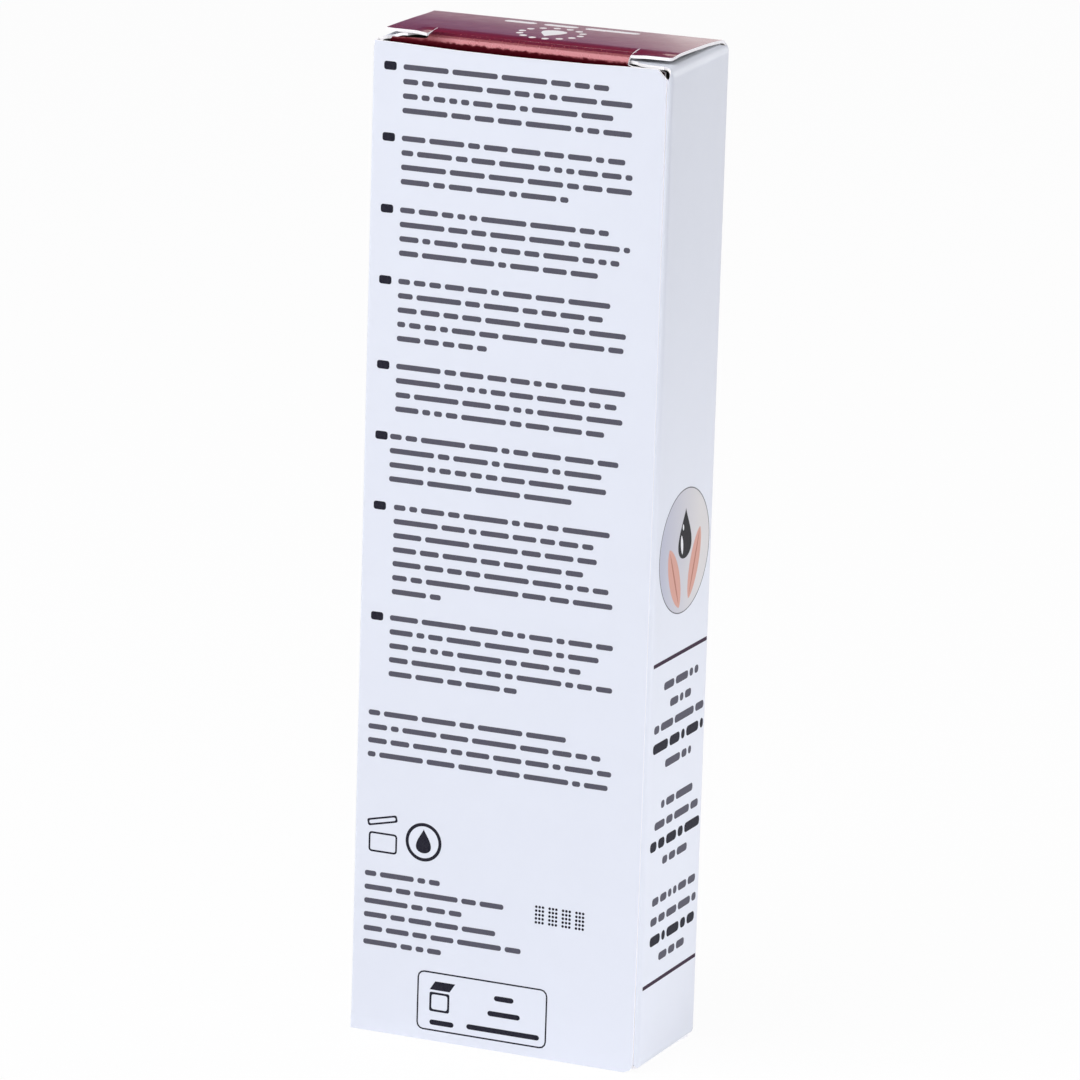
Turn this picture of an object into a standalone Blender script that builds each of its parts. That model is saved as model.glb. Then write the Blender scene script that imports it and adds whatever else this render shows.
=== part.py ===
"""A small folding carton, closed, with a twist-up care pen held upright inside it.

Metres, +Z up. The origin is at the middle of the base. The tall printed panel that the lid tucks
behind faces -Y, the lid and the bottom panel are hinged along the back panel at +Y.
"""

import math

import bmesh
import bpy
from mathutils import Vector

MM = 0.001

# Running and seating gap between neighbouring pieces
CLEARANCE = 0.3 * MM

# Carton
CARTON_WIDTH = 47.2 * MM
CARTON_DEPTH = 21.5 * MM
HEAD_ROOM = 12.5 * MM
BOARD = 0.45 * MM
ROLL_RADIUS = 1.3 * MM
SEAM_INSET = 0.85 * MM
SEAM_GROOVE = 0.12 * MM
SEAM_DIP = 0.1 * MM
GLUE_FLAP_WIDTH = 12.0 * MM
GLUE_FLAP_SHORT = 13.0 * MM
GLUE_FLAP_TAPER = 3.0 * MM
CORNER_CHAMFER = 1.4 * MM
LID_RISE = 1.7 * MM
LID_SIDE_INSET = 1.15 * MM
LID_SETBACK = 2.4 * MM
LUG_WIDTH = 6.5 * MM
LUG_CORNER = 0.6 * MM
TOP_DUST_DROP = 1.35 * MM
TUCK_LENGTH = 10.5 * MM
TUCK_SETBACK = 1.85 * MM
TUCK_ROLL_RADIUS = 1.5 * MM
TUCK_SIDE_INSET = 1.9 * MM
TUCK_SHOULDER_DROP = 1.4 * MM
TUCK_CORNER_RADIUS = 5.0 * MM
DUST_PEN_GAP = 1.9 * MM
DUST_FRONT_GAP = 0.4 * MM
DUST_STRAIGHT = 4.5 * MM
DUST_FRONT_TAPER = 2.6 * MM
DUST_BACK_GAP = 0.6 * MM
DUST_TAPER_SHARE = 0.55
ROLL_FRONT_INSET = 1.2 * MM

# Board cradle that holds the pen upright in the carton
CRADLE_SIDE_GAP = 0.5 * MM
CRADLE_SHELF_DROP = 26.0 * MM
CRADLE_LIP = 9.0 * MM
CRADLE_HOLE_GAP = 0.45 * MM
CRADLE_FOLD_RADIUS = 0.7 * MM

# Pen
PEN_SET_FORWARD = 0.6 * MM
PEN_RADIUS = 6.0 * MM
PEN_SHELL_WALL = 0.6 * MM
KNOB_WALL = 0.9 * MM
CAP_END = 1.2 * MM
CAP_EDGE = 0.8 * MM
EDGE_BREAK = 0.25 * MM
COLLAR_RING = 2.0 * MM
COLLAR_SPIGOT = 5.0 * MM
NECK_RADIUS = 4.0 * MM
NECK_LENGTH = 8.0 * MM
LINER_LIP = 0.9 * MM
PLUG_THICKNESS = 1.5 * MM
ROD_RADIUS = 2.0 * MM
ROD_FLAT = 1.5 * MM
ROD_FOOT = 1.7 * MM
ROD_SOCKET = 3.0 * MM
ROD_HOLD = 0.5 * MM
PISTON_TRAVEL = 30.0 * MM
PISTON_END_GAP = 1.8 * MM
PISTON_LENGTH = 8.0 * MM
PISTON_WAIST = 0.6 * MM
PISTON_LIP = 2.0 * MM
RESERVOIR_WALL = 1.0 * MM
NUT_LENGTH = 8.0 * MM
RATCHET_LENGTH = 3.0 * MM
RATCHET_RIM = 0.8 * MM
RATCHET_TOOTH = 0.6 * MM
RATCHET_TEETH = 16
GUIDE_LENGTH = 7.0 * MM
FEED_BORE_RADIUS = 0.6 * MM
FEED_RADIUS = 1.3 * MM
FERRULE_LENGTH = 10.7 * MM
FERRULE_BASE_RADIUS = 3.6 * MM
FERRULE_TIP_RADIUS = 2.3 * MM
FERRULE_FOOT = 2.0 * MM
TUFT_ROOT = 6.4 * MM
TUFT_LENGTH = 11.0 * MM
TUFT_BELLY_RADIUS = 2.0 * MM
TUFT_TIP_RADIUS = 0.4 * MM
TUFT_BELLY_SHARE = 0.35
TIP_ROOM = 5.6 * MM

SHELL_SEGMENTS = 48
INNER_SEGMENTS = 32
ROLL_STEPS = 6

# Heights in the pen, from its lower end up
NUT_BASE = PLUG_THICKNESS + ROD_FOOT + PISTON_TRAVEL + ROD_HOLD
NUT_TOP = NUT_BASE + NUT_LENGTH
KNOB_TOP = NUT_TOP + CLEARANCE
BARREL_BASE = KNOB_TOP + CLEARANCE
RATCHET_TOP = BARREL_BASE + RATCHET_LENGTH
GUIDE_BASE = RATCHET_TOP + CLEARANCE
GUIDE_TOP = GUIDE_BASE + GUIDE_LENGTH
RESERVOIR_BASE = GUIDE_TOP + CLEARANCE
PISTON_BASE = RESERVOIR_BASE + CLEARANCE
PISTON_TOP = PISTON_BASE + PISTON_LENGTH
SPIGOT_BASE = PISTON_TOP + PISTON_TRAVEL + PISTON_END_GAP
RESERVOIR_TOP = SPIGOT_BASE - CLEARANCE
COLLAR_BASE = SPIGOT_BASE + COLLAR_SPIGOT
BARREL_TOP = COLLAR_BASE - CLEARANCE
COLLAR_TOP = COLLAR_BASE + COLLAR_RING
NECK_TOP = COLLAR_TOP + NECK_LENGTH
FERRULE_BASE = NECK_TOP + CLEARANCE
FERRULE_TOP = FERRULE_BASE + FERRULE_LENGTH
TUFT_BASE = FERRULE_TOP - TUFT_ROOT
TUFT_TOP = FERRULE_TOP + TUFT_LENGTH
FEED_TOP = TUFT_BASE - CLEARANCE
CAP_BASE = COLLAR_TOP + CLEARANCE
LINER_TOP = TUFT_TOP + TIP_ROOM + LINER_LIP
CAP_INSIDE = LINER_TOP + CLEARANCE
CAP_TOP = CAP_INSIDE + CAP_END

# Radii in the pen, from its shell inwards
BARREL_BORE = PEN_RADIUS - PEN_SHELL_WALL
INNER_RADIUS = BARREL_BORE - CLEARANCE
KNOB_BORE = PEN_RADIUS - KNOB_WALL
NUT_RADIUS = KNOB_BORE - CLEARANCE
ROD_BORE = ROD_RADIUS + CLEARANCE
RATCHET_ROOT = INNER_RADIUS - RATCHET_RIM
RATCHET_TIP = RATCHET_ROOT - RATCHET_TOOTH
RESERVOIR_BORE = INNER_RADIUS - RESERVOIR_WALL
PISTON_RADIUS = RESERVOIR_BORE - CLEARANCE
FEED_HOLE = FEED_RADIUS + CLEARANCE
LINER_BORE = NECK_RADIUS + CLEARANCE

# Places in the carton, which is made to the height of its pen
HALF_WIDTH = CARTON_WIDTH / 2
HALF_DEPTH = CARTON_DEPTH / 2
PEN_Y = -PEN_SET_FORWARD
PEN_BASE = BOARD + CLEARANCE
LID_TOP = PEN_BASE + CAP_TOP + HEAD_ROOM + BOARD
FRONT_HEIGHT = LID_TOP - LID_RISE
BACK_ROLL_CENTRE = HALF_DEPTH - ROLL_RADIUS
SIDE_ROLL_CENTRE = HALF_WIDTH - ROLL_RADIUS
HINGE_Y = BACK_ROLL_CENTRE - CLEARANCE / 2
LID_HALF_WIDTH = HALF_WIDTH - LID_SIDE_INSET
LUG_FRONT = -HALF_DEPTH + LID_SETBACK
TONGUE_HALF_WIDTH = LID_HALF_WIDTH - LUG_WIDTH
TUCK_FACE = -HALF_DEPTH + TUCK_SETBACK
TUCK_HINGE_Y = TUCK_FACE + TUCK_ROLL_RADIUS
DUST_HINGE_X = SIDE_ROLL_CENTRE - CLEARANCE - BOARD / 2
DUST_TIP_X = PEN_RADIUS + DUST_PEN_GAP
BOTTOM_DUST_DROP = BOARD + CLEARANCE
CRADLE_SHELF = FRONT_HEIGHT - CRADLE_SHELF_DROP

# Base colour as sRGB hex, roughness and metallic of each finish
FINISHES = {
    "coated_board_white": ("E6EAF4", 0.45, 0.0),
    "foil_board_burgundy": ("5E1426", 0.25, 0.4),
    "kraft_board_grey": ("C9C4BA", 0.8, 0.0),
    "anodised_burgundy": ("6A1A2C", 0.3, 1.0),
    "polished_aluminium": ("D2D3D6", 0.2, 1.0),
    "black_plastic": ("1D1B1E", 0.4, 0.0),
    "white_plastic": ("EDEDE9", 0.45, 0.0),
    "clear_plastic": ("DFE6E8", 0.2, 0.0),
    "seal_plastic": ("B9C6CF", 0.5, 0.0),
    "nylon_bristle": ("D8CBB4", 0.6, 0.0),
}


def clear_scene():
    for item in list(bpy.data.objects):
        bpy.data.objects.remove(item, do_unlink=True)


def linear(hex_colour):
    """sRGB hex as linear red, green, blue and alpha."""
    channels = [int(hex_colour[i : i + 2], 16) / 255 for i in (0, 2, 4)]
    return [c / 12.92 if c <= 0.04045 else ((c + 0.055) / 1.055) ** 2.4 for c in channels] + [1.0]


def finish(name):
    """The material of that name, made when it is first asked for."""
    material = bpy.data.materials.get(name)
    if material is None:
        colour, roughness, metallic = FINISHES[name]
        material = bpy.data.materials.new(name)
        material.use_nodes = True
        shader = material.node_tree.nodes["Principled BSDF"]
        shader.inputs["Base Color"].default_value = linear(colour)
        shader.inputs["Roughness"].default_value = roughness
        shader.inputs["Metallic"].default_value = metallic
    return material


def place(name, bm, finish_name, parent, origin=(0, 0, 0)):
    """Makes the object from a bmesh in world places, with its own origin, under its parent."""
    bmesh.ops.recalc_face_normals(bm, faces=bm.faces)
    bmesh.ops.translate(bm, verts=bm.verts, vec=-Vector(origin))
    mesh = bpy.data.meshes.new(name)
    bm.to_mesh(mesh)
    bm.free()
    mesh.materials.append(finish(finish_name))
    item = bpy.data.objects.new(name, mesh)
    bpy.context.scene.collection.objects.link(item)
    item.location = origin
    if parent is not None:
        item.parent = parent
        item.location = Vector(origin) - world_place(parent)
    return item


def world_place(item):
    """Where an object's origin lies, as no object here is turned or scaled."""
    here = Vector(item.location)
    return here if item.parent is None else here + world_place(item.parent)


def joint_empty(name, origin, parent):
    """An empty on a joint's axis, for the pieces that move together."""
    empty = bpy.data.objects.new(name, None)
    bpy.context.scene.collection.objects.link(empty)
    empty.location = origin
    if parent is not None:
        empty.parent = parent
        empty.location = Vector(origin) - world_place(parent)
    return empty


def arc(centre, radius, start, end, steps=ROLL_STEPS):
    """Points on an arc from one angle to another, in degrees."""
    angles = [math.radians(start + (end - start) * i / steps) for i in range(steps + 1)]
    return [(centre[0] + radius * math.cos(a), centre[1] + radius * math.sin(a)) for a in angles]


def circle(radius, segments):
    return arc((0, 0), radius, 0, 360 - 360 / segments, segments - 1)


def prism(outlines, axis, start, end):
    """A closed solid from flat outlines, the first one outside and the others holes, along an axis."""
    spread = {
        "X": lambda u, v: (start, u, v),
        "Y": lambda u, v: (u, start, v),
        "Z": lambda u, v: (u, v, start),
    }[axis]
    along = Vector([float(axis == letter) for letter in "XYZ"]) * (end - start)
    bm = bmesh.new()
    for outline in outlines:
        ring = [bm.verts.new(spread(u, v)) for u, v in outline]
        for first, second in zip(ring, ring[1:] + ring[:1]):
            bm.edges.new((first, second))
    bmesh.ops.triangle_fill(bm, use_beauty=True, edges=bm.edges[:])
    grown = bmesh.ops.extrude_face_region(bm, geom=bm.faces[:])["geom"]
    moved = [item for item in grown if isinstance(item, bmesh.types.BMVert)]
    bmesh.ops.translate(bm, verts=moved, vec=along)
    return bm


def turned(profile, segments, centre=(0, PEN_Y)):
    """A closed profile of radii and heights, turned about the vertical line through centre."""
    bm = bmesh.new()
    ring = [bm.verts.new((radius, 0, height)) for radius, height in profile]
    for first, second in zip(ring, ring[1:] + ring[:1]):
        if first.co.x > 0 or second.co.x > 0:
            bm.edges.new((first, second))
    bmesh.ops.spin(
        bm,
        geom=bm.verts[:] + bm.edges[:],
        cent=(0, 0, 0),
        axis=(0, 0, 1),
        angle=math.tau,
        steps=segments,
        use_duplicate=False,
    )
    bmesh.ops.remove_doubles(bm, verts=bm.verts, dist=0.00001)
    bmesh.ops.translate(bm, verts=bm.verts, vec=(*centre, PEN_BASE))
    return bm


def combine(item, bm, operation):
    """Joins a helper solid in world places to an object, or cuts it out, and removes the helper."""
    bmesh.ops.recalc_face_normals(bm, faces=bm.faces)
    mesh = bpy.data.meshes.new("helper")
    bm.to_mesh(mesh)
    bm.free()
    helper = bpy.data.objects.new("helper", mesh)
    bpy.context.scene.collection.objects.link(helper)
    modifier = item.modifiers.new(operation.lower(), "BOOLEAN")
    modifier.operation = operation
    modifier.solver = "EXACT"
    modifier.object = helper
    bpy.context.view_layer.update()
    graph = bpy.context.evaluated_depsgraph_get()
    result = bpy.data.meshes.new_from_object(item.evaluated_get(graph))
    item.modifiers.remove(modifier)
    item.data = result
    bpy.data.objects.remove(helper, do_unlink=True)


def smooth(item, angle=35):
    item.data.shade_smooth()
    item.data.set_sharp_from_angle(angle=math.radians(angle))


def strip(path, half=BOARD / 2):
    """The outline of a board that follows a path of (u, v) points, half its thickness to each side."""
    sides = ([], [])
    for index, point in enumerate(path):
        before = Vector(path[max(index - 1, 0)])
        after = Vector(path[min(index + 1, len(path) - 1)])
        here = Vector(point)
        first = (here - before).normalized() if index else (after - here).normalized()
        second = (after - here).normalized() if index < len(path) - 1 else first
        middle = (first + second).normalized()
        normal = Vector((-middle.y, middle.x)) * (half / middle.dot(first))
        sides[0].append(tuple(here + normal))
        sides[1].append(tuple(here - normal))
    return sides[0] + sides[1][::-1]


def end_face(level, sign):
    """A function that gives a height from a depth below the outer face of a closure."""
    return lambda depth: level - sign * depth


def make_sleeve(closures):
    """The four walls of the glued blank, with the rolls where the flaps are creased on."""
    seam = HALF_WIDTH - SEAM_INSET
    fold = (seam + SEAM_GROOVE, -HALF_DEPTH + SEAM_DIP)
    fold_radius = HALF_WIDTH - fold[0]
    glue_back = -HALF_DEPTH + 2 * BOARD
    wall_top, wall_base = (face(drop + ROLL_RADIUS) for face, _, drop, _ in closures)
    front_middle = -HALF_DEPTH + BOARD / 2
    outline = arc((fold[0], fold[1] + fold_radius), fold_radius, -90, 0)
    outline += [(HALF_WIDTH, HALF_DEPTH), (-HALF_WIDTH, HALF_DEPTH), (-HALF_WIDTH, front_middle)]
    outline += [(-HALF_WIDTH + BOARD, front_middle), (-HALF_WIDTH + BOARD, HALF_DEPTH - BOARD)]
    outline += [(HALF_WIDTH - BOARD, HALF_DEPTH - BOARD), (HALF_WIDTH - BOARD, glue_back)]
    outline += [(fold[0], glue_back)]
    sleeve = place("carton_sleeve", prism([outline], "Z", wall_base, wall_top), "coated_board_white", None)
    combine(sleeve, prism([glue_flap(seam)], "Y", front_middle, glue_back - SEAM_DIP), "UNION")
    combine(sleeve, front_panel(seam), "UNION")
    roll = ROLL_RADIUS - BOARD / 2
    for face, sign, drop, _ in closures:
        for side in (1, -1):
            combine(sleeve, side_roll(face, sign, drop, side, roll), "UNION")
        combine(sleeve, back_roll(face, sign, drop, roll), "UNION")
    smooth(sleeve)
    return sleeve


def glue_flap(seam):
    """The flap behind the seam, which stops short of the tucks."""
    inner = HALF_WIDTH - BOARD / 2
    end = seam - GLUE_FLAP_WIDTH
    low, high = GLUE_FLAP_SHORT, FRONT_HEIGHT - GLUE_FLAP_SHORT
    taper = GLUE_FLAP_TAPER
    return [(inner, low), (inner, high), (end, high - taper), (end, low + taper)]


def front_panel(seam):
    """The panel that is glued over the seam, with the corners of its free edge cut off."""
    cut = CORNER_CHAMFER
    corners = [(seam, FRONT_HEIGHT - cut), (seam - cut, FRONT_HEIGHT), (-HALF_WIDTH, FRONT_HEIGHT)]
    corners += [(-HALF_WIDTH, 0), (seam - cut, 0), (seam, cut)]
    return prism([corners], "Y", -HALF_DEPTH, -HALF_DEPTH + BOARD)


def side_roll(face, sign, drop, side, roll):
    """The bend at the end of a narrow wall, up to the crease of its dust flap."""
    centre = (SIDE_ROLL_CENTRE, face(drop + ROLL_RADIUS))
    bend = arc(centre, roll, 0, sign * 90)
    path = [(centre[0] + roll, centre[1] - sign * ROLL_RADIUS)] + bend
    outline = [(side * u, v) for u, v in strip(path)]
    return prism([outline], "Y", -HALF_DEPTH + ROLL_FRONT_INSET, HINGE_Y - DUST_BACK_GAP)


def back_roll(face, sign, drop, roll):
    """The bend at the end of the back wall, up to the crease of the lid."""
    centre = (BACK_ROLL_CENTRE, face(ROLL_RADIUS))
    bend = arc(centre, roll, 0, sign * 90)
    path = [(centre[0] + roll, face(drop + 2 * ROLL_RADIUS))] + bend
    return prism([strip(path)], "X", -LID_HALF_WIDTH, LID_HALF_WIDTH)


def make_closure(name, face, sign, drop, parent):
    """A hinged panel with its tuck, and the two dust flaps under it."""
    axis_height = face(-CLEARANCE / 2)
    hinge = joint_empty(f"{name}_hinge", (0, HINGE_Y, axis_height), parent)
    back = HINGE_Y - CLEARANCE / 2
    tongue_edge = TUCK_HINGE_Y + BOARD / 2 + CLEARANCE
    corner = LUG_CORNER
    outline = [(LID_HALF_WIDTH, back), (-LID_HALF_WIDTH, back)]
    outline += [(-LID_HALF_WIDTH, LUG_FRONT + corner), (corner - LID_HALF_WIDTH, LUG_FRONT)]
    outline += [(-TONGUE_HALF_WIDTH - CLEARANCE, LUG_FRONT), (-TONGUE_HALF_WIDTH - CLEARANCE, tongue_edge)]
    outline += [(TONGUE_HALF_WIDTH + CLEARANCE, tongue_edge), (TONGUE_HALF_WIDTH + CLEARANCE, LUG_FRONT)]
    outline += [(LID_HALF_WIDTH - corner, LUG_FRONT), (LID_HALF_WIDTH, LUG_FRONT + corner)]
    colour = "foil_board_burgundy" if sign > 0 else "coated_board_white"
    panel = prism([outline], "Z", face(0), face(BOARD))
    place(f"{name}_panel", panel, colour, hinge, (0, HINGE_Y, axis_height))
    make_tuck(name, face, sign, hinge, colour)
    for side, word in ((-1, "left"), (1, "right")):
        make_dust_flap(f"{name}_dust_flap_{word}", face, drop, side, parent)


def make_tuck(name, face, sign, parent, colour):
    """The flap that rolls over the front crease of its panel and goes down behind the front wall."""
    half = BOARD / 2
    roll = TUCK_ROLL_RADIUS - half
    centre = (TUCK_HINGE_Y, face(TUCK_ROLL_RADIUS))
    bend = arc(centre, roll, sign * 90, sign * 180)
    path = bend + [(centre[0] - roll, face(2 * TUCK_ROLL_RADIUS))]
    origin = (0, TUCK_HINGE_Y, face(half))
    tongue = prism([strip(path)], "X", -TONGUE_HALF_WIDTH, TONGUE_HALF_WIDTH)
    item = place(f"{name}_tuck", tongue, colour, parent, origin)
    wide = HALF_WIDTH - TUCK_SIDE_INSET
    narrow = TONGUE_HALF_WIDTH - BOARD
    radius = TUCK_CORNER_RADIUS
    shoulder = face(TUCK_SHOULDER_DROP)
    right = [(narrow, shoulder), (wide, shoulder)]
    corner = arc((wide - radius, face(TUCK_LENGTH - radius)), radius, 0, -sign * 90)
    outline = right + corner + [(-u, v) for u, v in (right + corner)[::-1]]
    combine(item, prism([outline], "Y", TUCK_FACE, TUCK_FACE + BOARD), "UNION")
    smooth(item)


def make_dust_flap(name, face, drop, side, parent):
    """A flap creased to a narrow wall, tapered at the back so that the lid clears it."""
    half = BOARD / 2
    front = TUCK_FACE + BOARD + DUST_FRONT_GAP
    back = HINGE_Y - DUST_BACK_GAP
    tip = DUST_TIP_X
    root = DUST_HINGE_X + half
    taper = (DUST_HINGE_X - tip) * DUST_TAPER_SHARE
    outline = [(root, front), (root, back), (DUST_HINGE_X, back)]
    outline += [(tip, back - taper), (tip, front + DUST_FRONT_TAPER), (DUST_HINGE_X - DUST_STRAIGHT, front)]
    outline = [(side * u, v) for u, v in outline]
    origin = (side * DUST_HINGE_X, 0, face(drop + half))
    place(name, prism([outline], "Z", face(drop), face(drop + BOARD)), "coated_board_white", parent, origin)


def make_cradle(parent):
    """One strip of board folded to a foot, a back, a shelf and a lip.

    The foot has a square hole for the pen's end and the shelf a round one for its cap.
    """
    half = BOARD / 2
    fold = CRADLE_FOLD_RADIUS
    back = HALF_DEPTH - BOARD - CLEARANCE - half
    foot = BOTTOM_DUST_DROP + BOARD + CLEARANCE + half
    lip = -HALF_DEPTH + 2 * BOARD + CLEARANCE + half
    foot_end = TUCK_FACE + BOARD + DUST_FRONT_GAP
    path = [(foot_end, foot)]
    path += arc((back - fold, foot + fold), fold, -90, 0)
    path += arc((back - fold, CRADLE_SHELF - fold), fold, 0, 90)
    path += arc((lip + fold, CRADLE_SHELF - fold), fold, 90, 180)
    path += [(lip, CRADLE_SHELF - CRADLE_LIP)]
    wide = HALF_WIDTH - BOARD - CRADLE_SIDE_GAP
    cradle = place("pen_cradle", prism([strip(path)], "X", -wide, wide), "kraft_board_grey", parent)
    reach = PEN_RADIUS + CRADLE_HOLE_GAP
    square = [(u * reach, PEN_Y + v * reach) for u, v in ((-1, -1), (1, -1), (1, 1), (-1, 1))]
    ring = [(u, v + PEN_Y) for u, v in circle(reach, SHELL_SEGMENTS)]
    for level, hole in ((foot, square), (CRADLE_SHELF, ring)):
        combine(cradle, prism([hole], "Z", level - BOARD, level + BOARD), "DIFFERENCE")
    smooth(cradle)


def tube_profile(outer, bore, base, top, edge=EDGE_BREAK):
    """The section of a plain tube with its outer edges broken."""
    outside = [(outer - edge, base), (outer, base + edge), (outer, top - edge), (outer - edge, top)]
    return [(bore, base)] + outside + [(bore, top)]


def rod_outline(gap=0):
    """A circle with two flats, as seen along the rod."""
    radius = ROD_RADIUS + gap
    flat = ROD_FLAT + gap
    reach = math.degrees(math.asin(flat / radius))
    return arc((0, PEN_Y), radius, -reach, reach) + arc((0, PEN_Y), radius, 180 - reach, 180 + reach)


def saw_outline():
    """The inner outline of the ratchet ring, with one steep side to each tooth."""
    points = []
    for tooth in range(RATCHET_TEETH):
        turn = tooth * math.tau / RATCHET_TEETH
        for radius in (RATCHET_ROOT, RATCHET_TIP):
            points.append((radius * math.cos(turn), PEN_Y + radius * math.sin(turn)))
    return points


def pen_piece(name, bm, finish_name, parent):
    item = place(name, bm, finish_name, parent, (0, PEN_Y, PEN_BASE))
    smooth(item)
    return item


def make_knob(parent):
    """The twist knob with the nut that it turns and the plug that closes its end."""
    knob = joint_empty("twist_knob", (0, PEN_Y, PEN_BASE), parent)
    shell = tube_profile(PEN_RADIUS, KNOB_BORE, 0, KNOB_TOP)
    pen_piece("knob_shell", turned(shell, SHELL_SEGMENTS), "anodised_burgundy", knob)
    plug = [(0, 0), (NUT_RADIUS, 0), (NUT_RADIUS, PLUG_THICKNESS), (0, PLUG_THICKNESS)]
    pen_piece("knob_end_plug", turned(plug, INNER_SEGMENTS), "polished_aluminium", knob)
    boss = RATCHET_TIP - CLEARANCE
    nut = [(ROD_BORE, NUT_BASE), (NUT_RADIUS, NUT_BASE), (NUT_RADIUS, NUT_TOP), (boss, NUT_TOP)]
    nut += [(boss, RATCHET_TOP), (ROD_BORE, RATCHET_TOP)]
    pen_piece("drive_nut", turned(nut, INNER_SEGMENTS), "white_plastic", knob)


def make_piston(parent):
    """The piston and the flat-sided rod that pushes it up the reservoir."""
    slide = joint_empty("piston_slide", (0, PEN_Y, PEN_BASE), parent)
    socket = PISTON_BASE + ROD_SOCKET
    rod_base = PEN_BASE + PLUG_THICKNESS + ROD_FOOT
    rod_top = PEN_BASE + socket - CLEARANCE
    pen_piece("piston_rod", prism([rod_outline()], "Z", rod_base, rod_top), "white_plastic", slide)
    top, wide = PISTON_TOP, PISTON_RADIUS
    waist = wide - PISTON_WAIST
    piston = [(ROD_BORE, PISTON_BASE), (wide, PISTON_BASE), (wide, PISTON_BASE + PISTON_LIP)]
    piston += [(waist, PISTON_BASE + PISTON_LIP + PISTON_WAIST), (waist, top - PISTON_LIP - PISTON_WAIST)]
    piston += [(wide, top - PISTON_LIP), (wide, top), (0, top), (0, socket), (ROD_BORE, socket)]
    pen_piece("piston", turned(piston, INNER_SEGMENTS), "seal_plastic", slide)


def make_barrel(parent):
    """The pieces that stay with the barrel: its shell, the reservoir and the works at its foot."""
    shell = tube_profile(PEN_RADIUS, BARREL_BORE, BARREL_BASE, BARREL_TOP)
    pen_piece("barrel_shell", turned(shell, SHELL_SEGMENTS), "anodised_burgundy", parent)
    rim = [(u, v + PEN_Y) for u, v in circle(INNER_RADIUS, INNER_SEGMENTS)]
    ratchet = prism([rim, saw_outline()], "Z", PEN_BASE + BARREL_BASE, PEN_BASE + RATCHET_TOP)
    pen_piece("ratchet_ring", ratchet, "white_plastic", parent)
    guide = prism([rim, rod_outline(CLEARANCE)], "Z", PEN_BASE + GUIDE_BASE, PEN_BASE + GUIDE_TOP)
    pen_piece("rod_guide", guide, "white_plastic", parent)
    tube = [(RESERVOIR_BORE, RESERVOIR_BASE), (INNER_RADIUS, RESERVOIR_BASE)]
    tube += [(INNER_RADIUS, RESERVOIR_TOP), (RESERVOIR_BORE, RESERVOIR_TOP)]
    pen_piece("reservoir_tube", turned(tube, INNER_SEGMENTS), "clear_plastic", parent)


def make_nose(parent):
    """The collar with its neck, the feed tube in it, and the brush."""
    edge, wide = EDGE_BREAK, PEN_RADIUS
    collar = [(FEED_HOLE, SPIGOT_BASE), (INNER_RADIUS, SPIGOT_BASE), (INNER_RADIUS, COLLAR_BASE)]
    collar += [(wide - edge, COLLAR_BASE), (wide, COLLAR_BASE + edge), (wide, COLLAR_TOP - edge)]
    collar += [(wide - edge, COLLAR_TOP), (NECK_RADIUS, COLLAR_TOP), (NECK_RADIUS, NECK_TOP - edge)]
    collar += [(NECK_RADIUS - edge, NECK_TOP), (FEED_HOLE, NECK_TOP)]
    pen_piece("shoulder_collar", turned(collar, SHELL_SEGMENTS), "polished_aluminium", parent)
    feed = [(FEED_BORE_RADIUS, SPIGOT_BASE), (FEED_RADIUS, SPIGOT_BASE), (FEED_RADIUS, FEED_TOP)]
    feed += [(FEED_BORE_RADIUS, FEED_TOP)]
    pen_piece("feed_tube", turned(feed, INNER_SEGMENTS), "clear_plastic", parent)
    foot = FERRULE_BASE + FERRULE_FOOT
    ferrule = [(FEED_HOLE, FERRULE_BASE), (FERRULE_BASE_RADIUS, FERRULE_BASE), (FERRULE_BASE_RADIUS, foot)]
    ferrule += [(FERRULE_TIP_RADIUS, FERRULE_TOP), (FEED_HOLE, FERRULE_TOP)]
    pen_piece("brush_ferrule", turned(ferrule, INNER_SEGMENTS), "black_plastic", parent)
    belly = FERRULE_TOP + TUFT_LENGTH * TUFT_BELLY_SHARE
    tuft = [(0, TUFT_BASE), (FEED_RADIUS, TUFT_BASE), (FEED_RADIUS, FERRULE_TOP), (TUFT_BELLY_RADIUS, belly)]
    tuft += [(TUFT_TIP_RADIUS, TUFT_TOP), (0, TUFT_TOP)]
    pen_piece("brush_tuft", turned(tuft, INNER_SEGMENTS), "nylon_bristle", parent)


def make_cap(parent):
    """The cap's shell and the liner that grips the neck."""
    cap = joint_empty("cap_slide", (0, PEN_Y, PEN_BASE), parent)
    edge, wide = EDGE_BREAK, PEN_RADIUS
    shell = [(BARREL_BORE, CAP_BASE), (wide - edge, CAP_BASE), (wide, CAP_BASE + edge)]
    shell += [(wide, CAP_TOP - CAP_EDGE), (wide - CAP_EDGE, CAP_TOP), (0, CAP_TOP)]
    shell += [(0, CAP_INSIDE), (BARREL_BORE, CAP_INSIDE)]
    pen_piece("cap_shell", turned(shell, SHELL_SEGMENTS), "anodised_burgundy", cap)
    base = CAP_BASE + CLEARANCE
    roof = LINER_TOP - LINER_LIP
    liner = [(LINER_BORE, base), (INNER_RADIUS, base), (INNER_RADIUS, LINER_TOP), (0, LINER_TOP)]
    liner += [(0, roof), (LINER_BORE, roof)]
    pen_piece("cap_liner", turned(liner, INNER_SEGMENTS), "white_plastic", cap)


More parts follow.
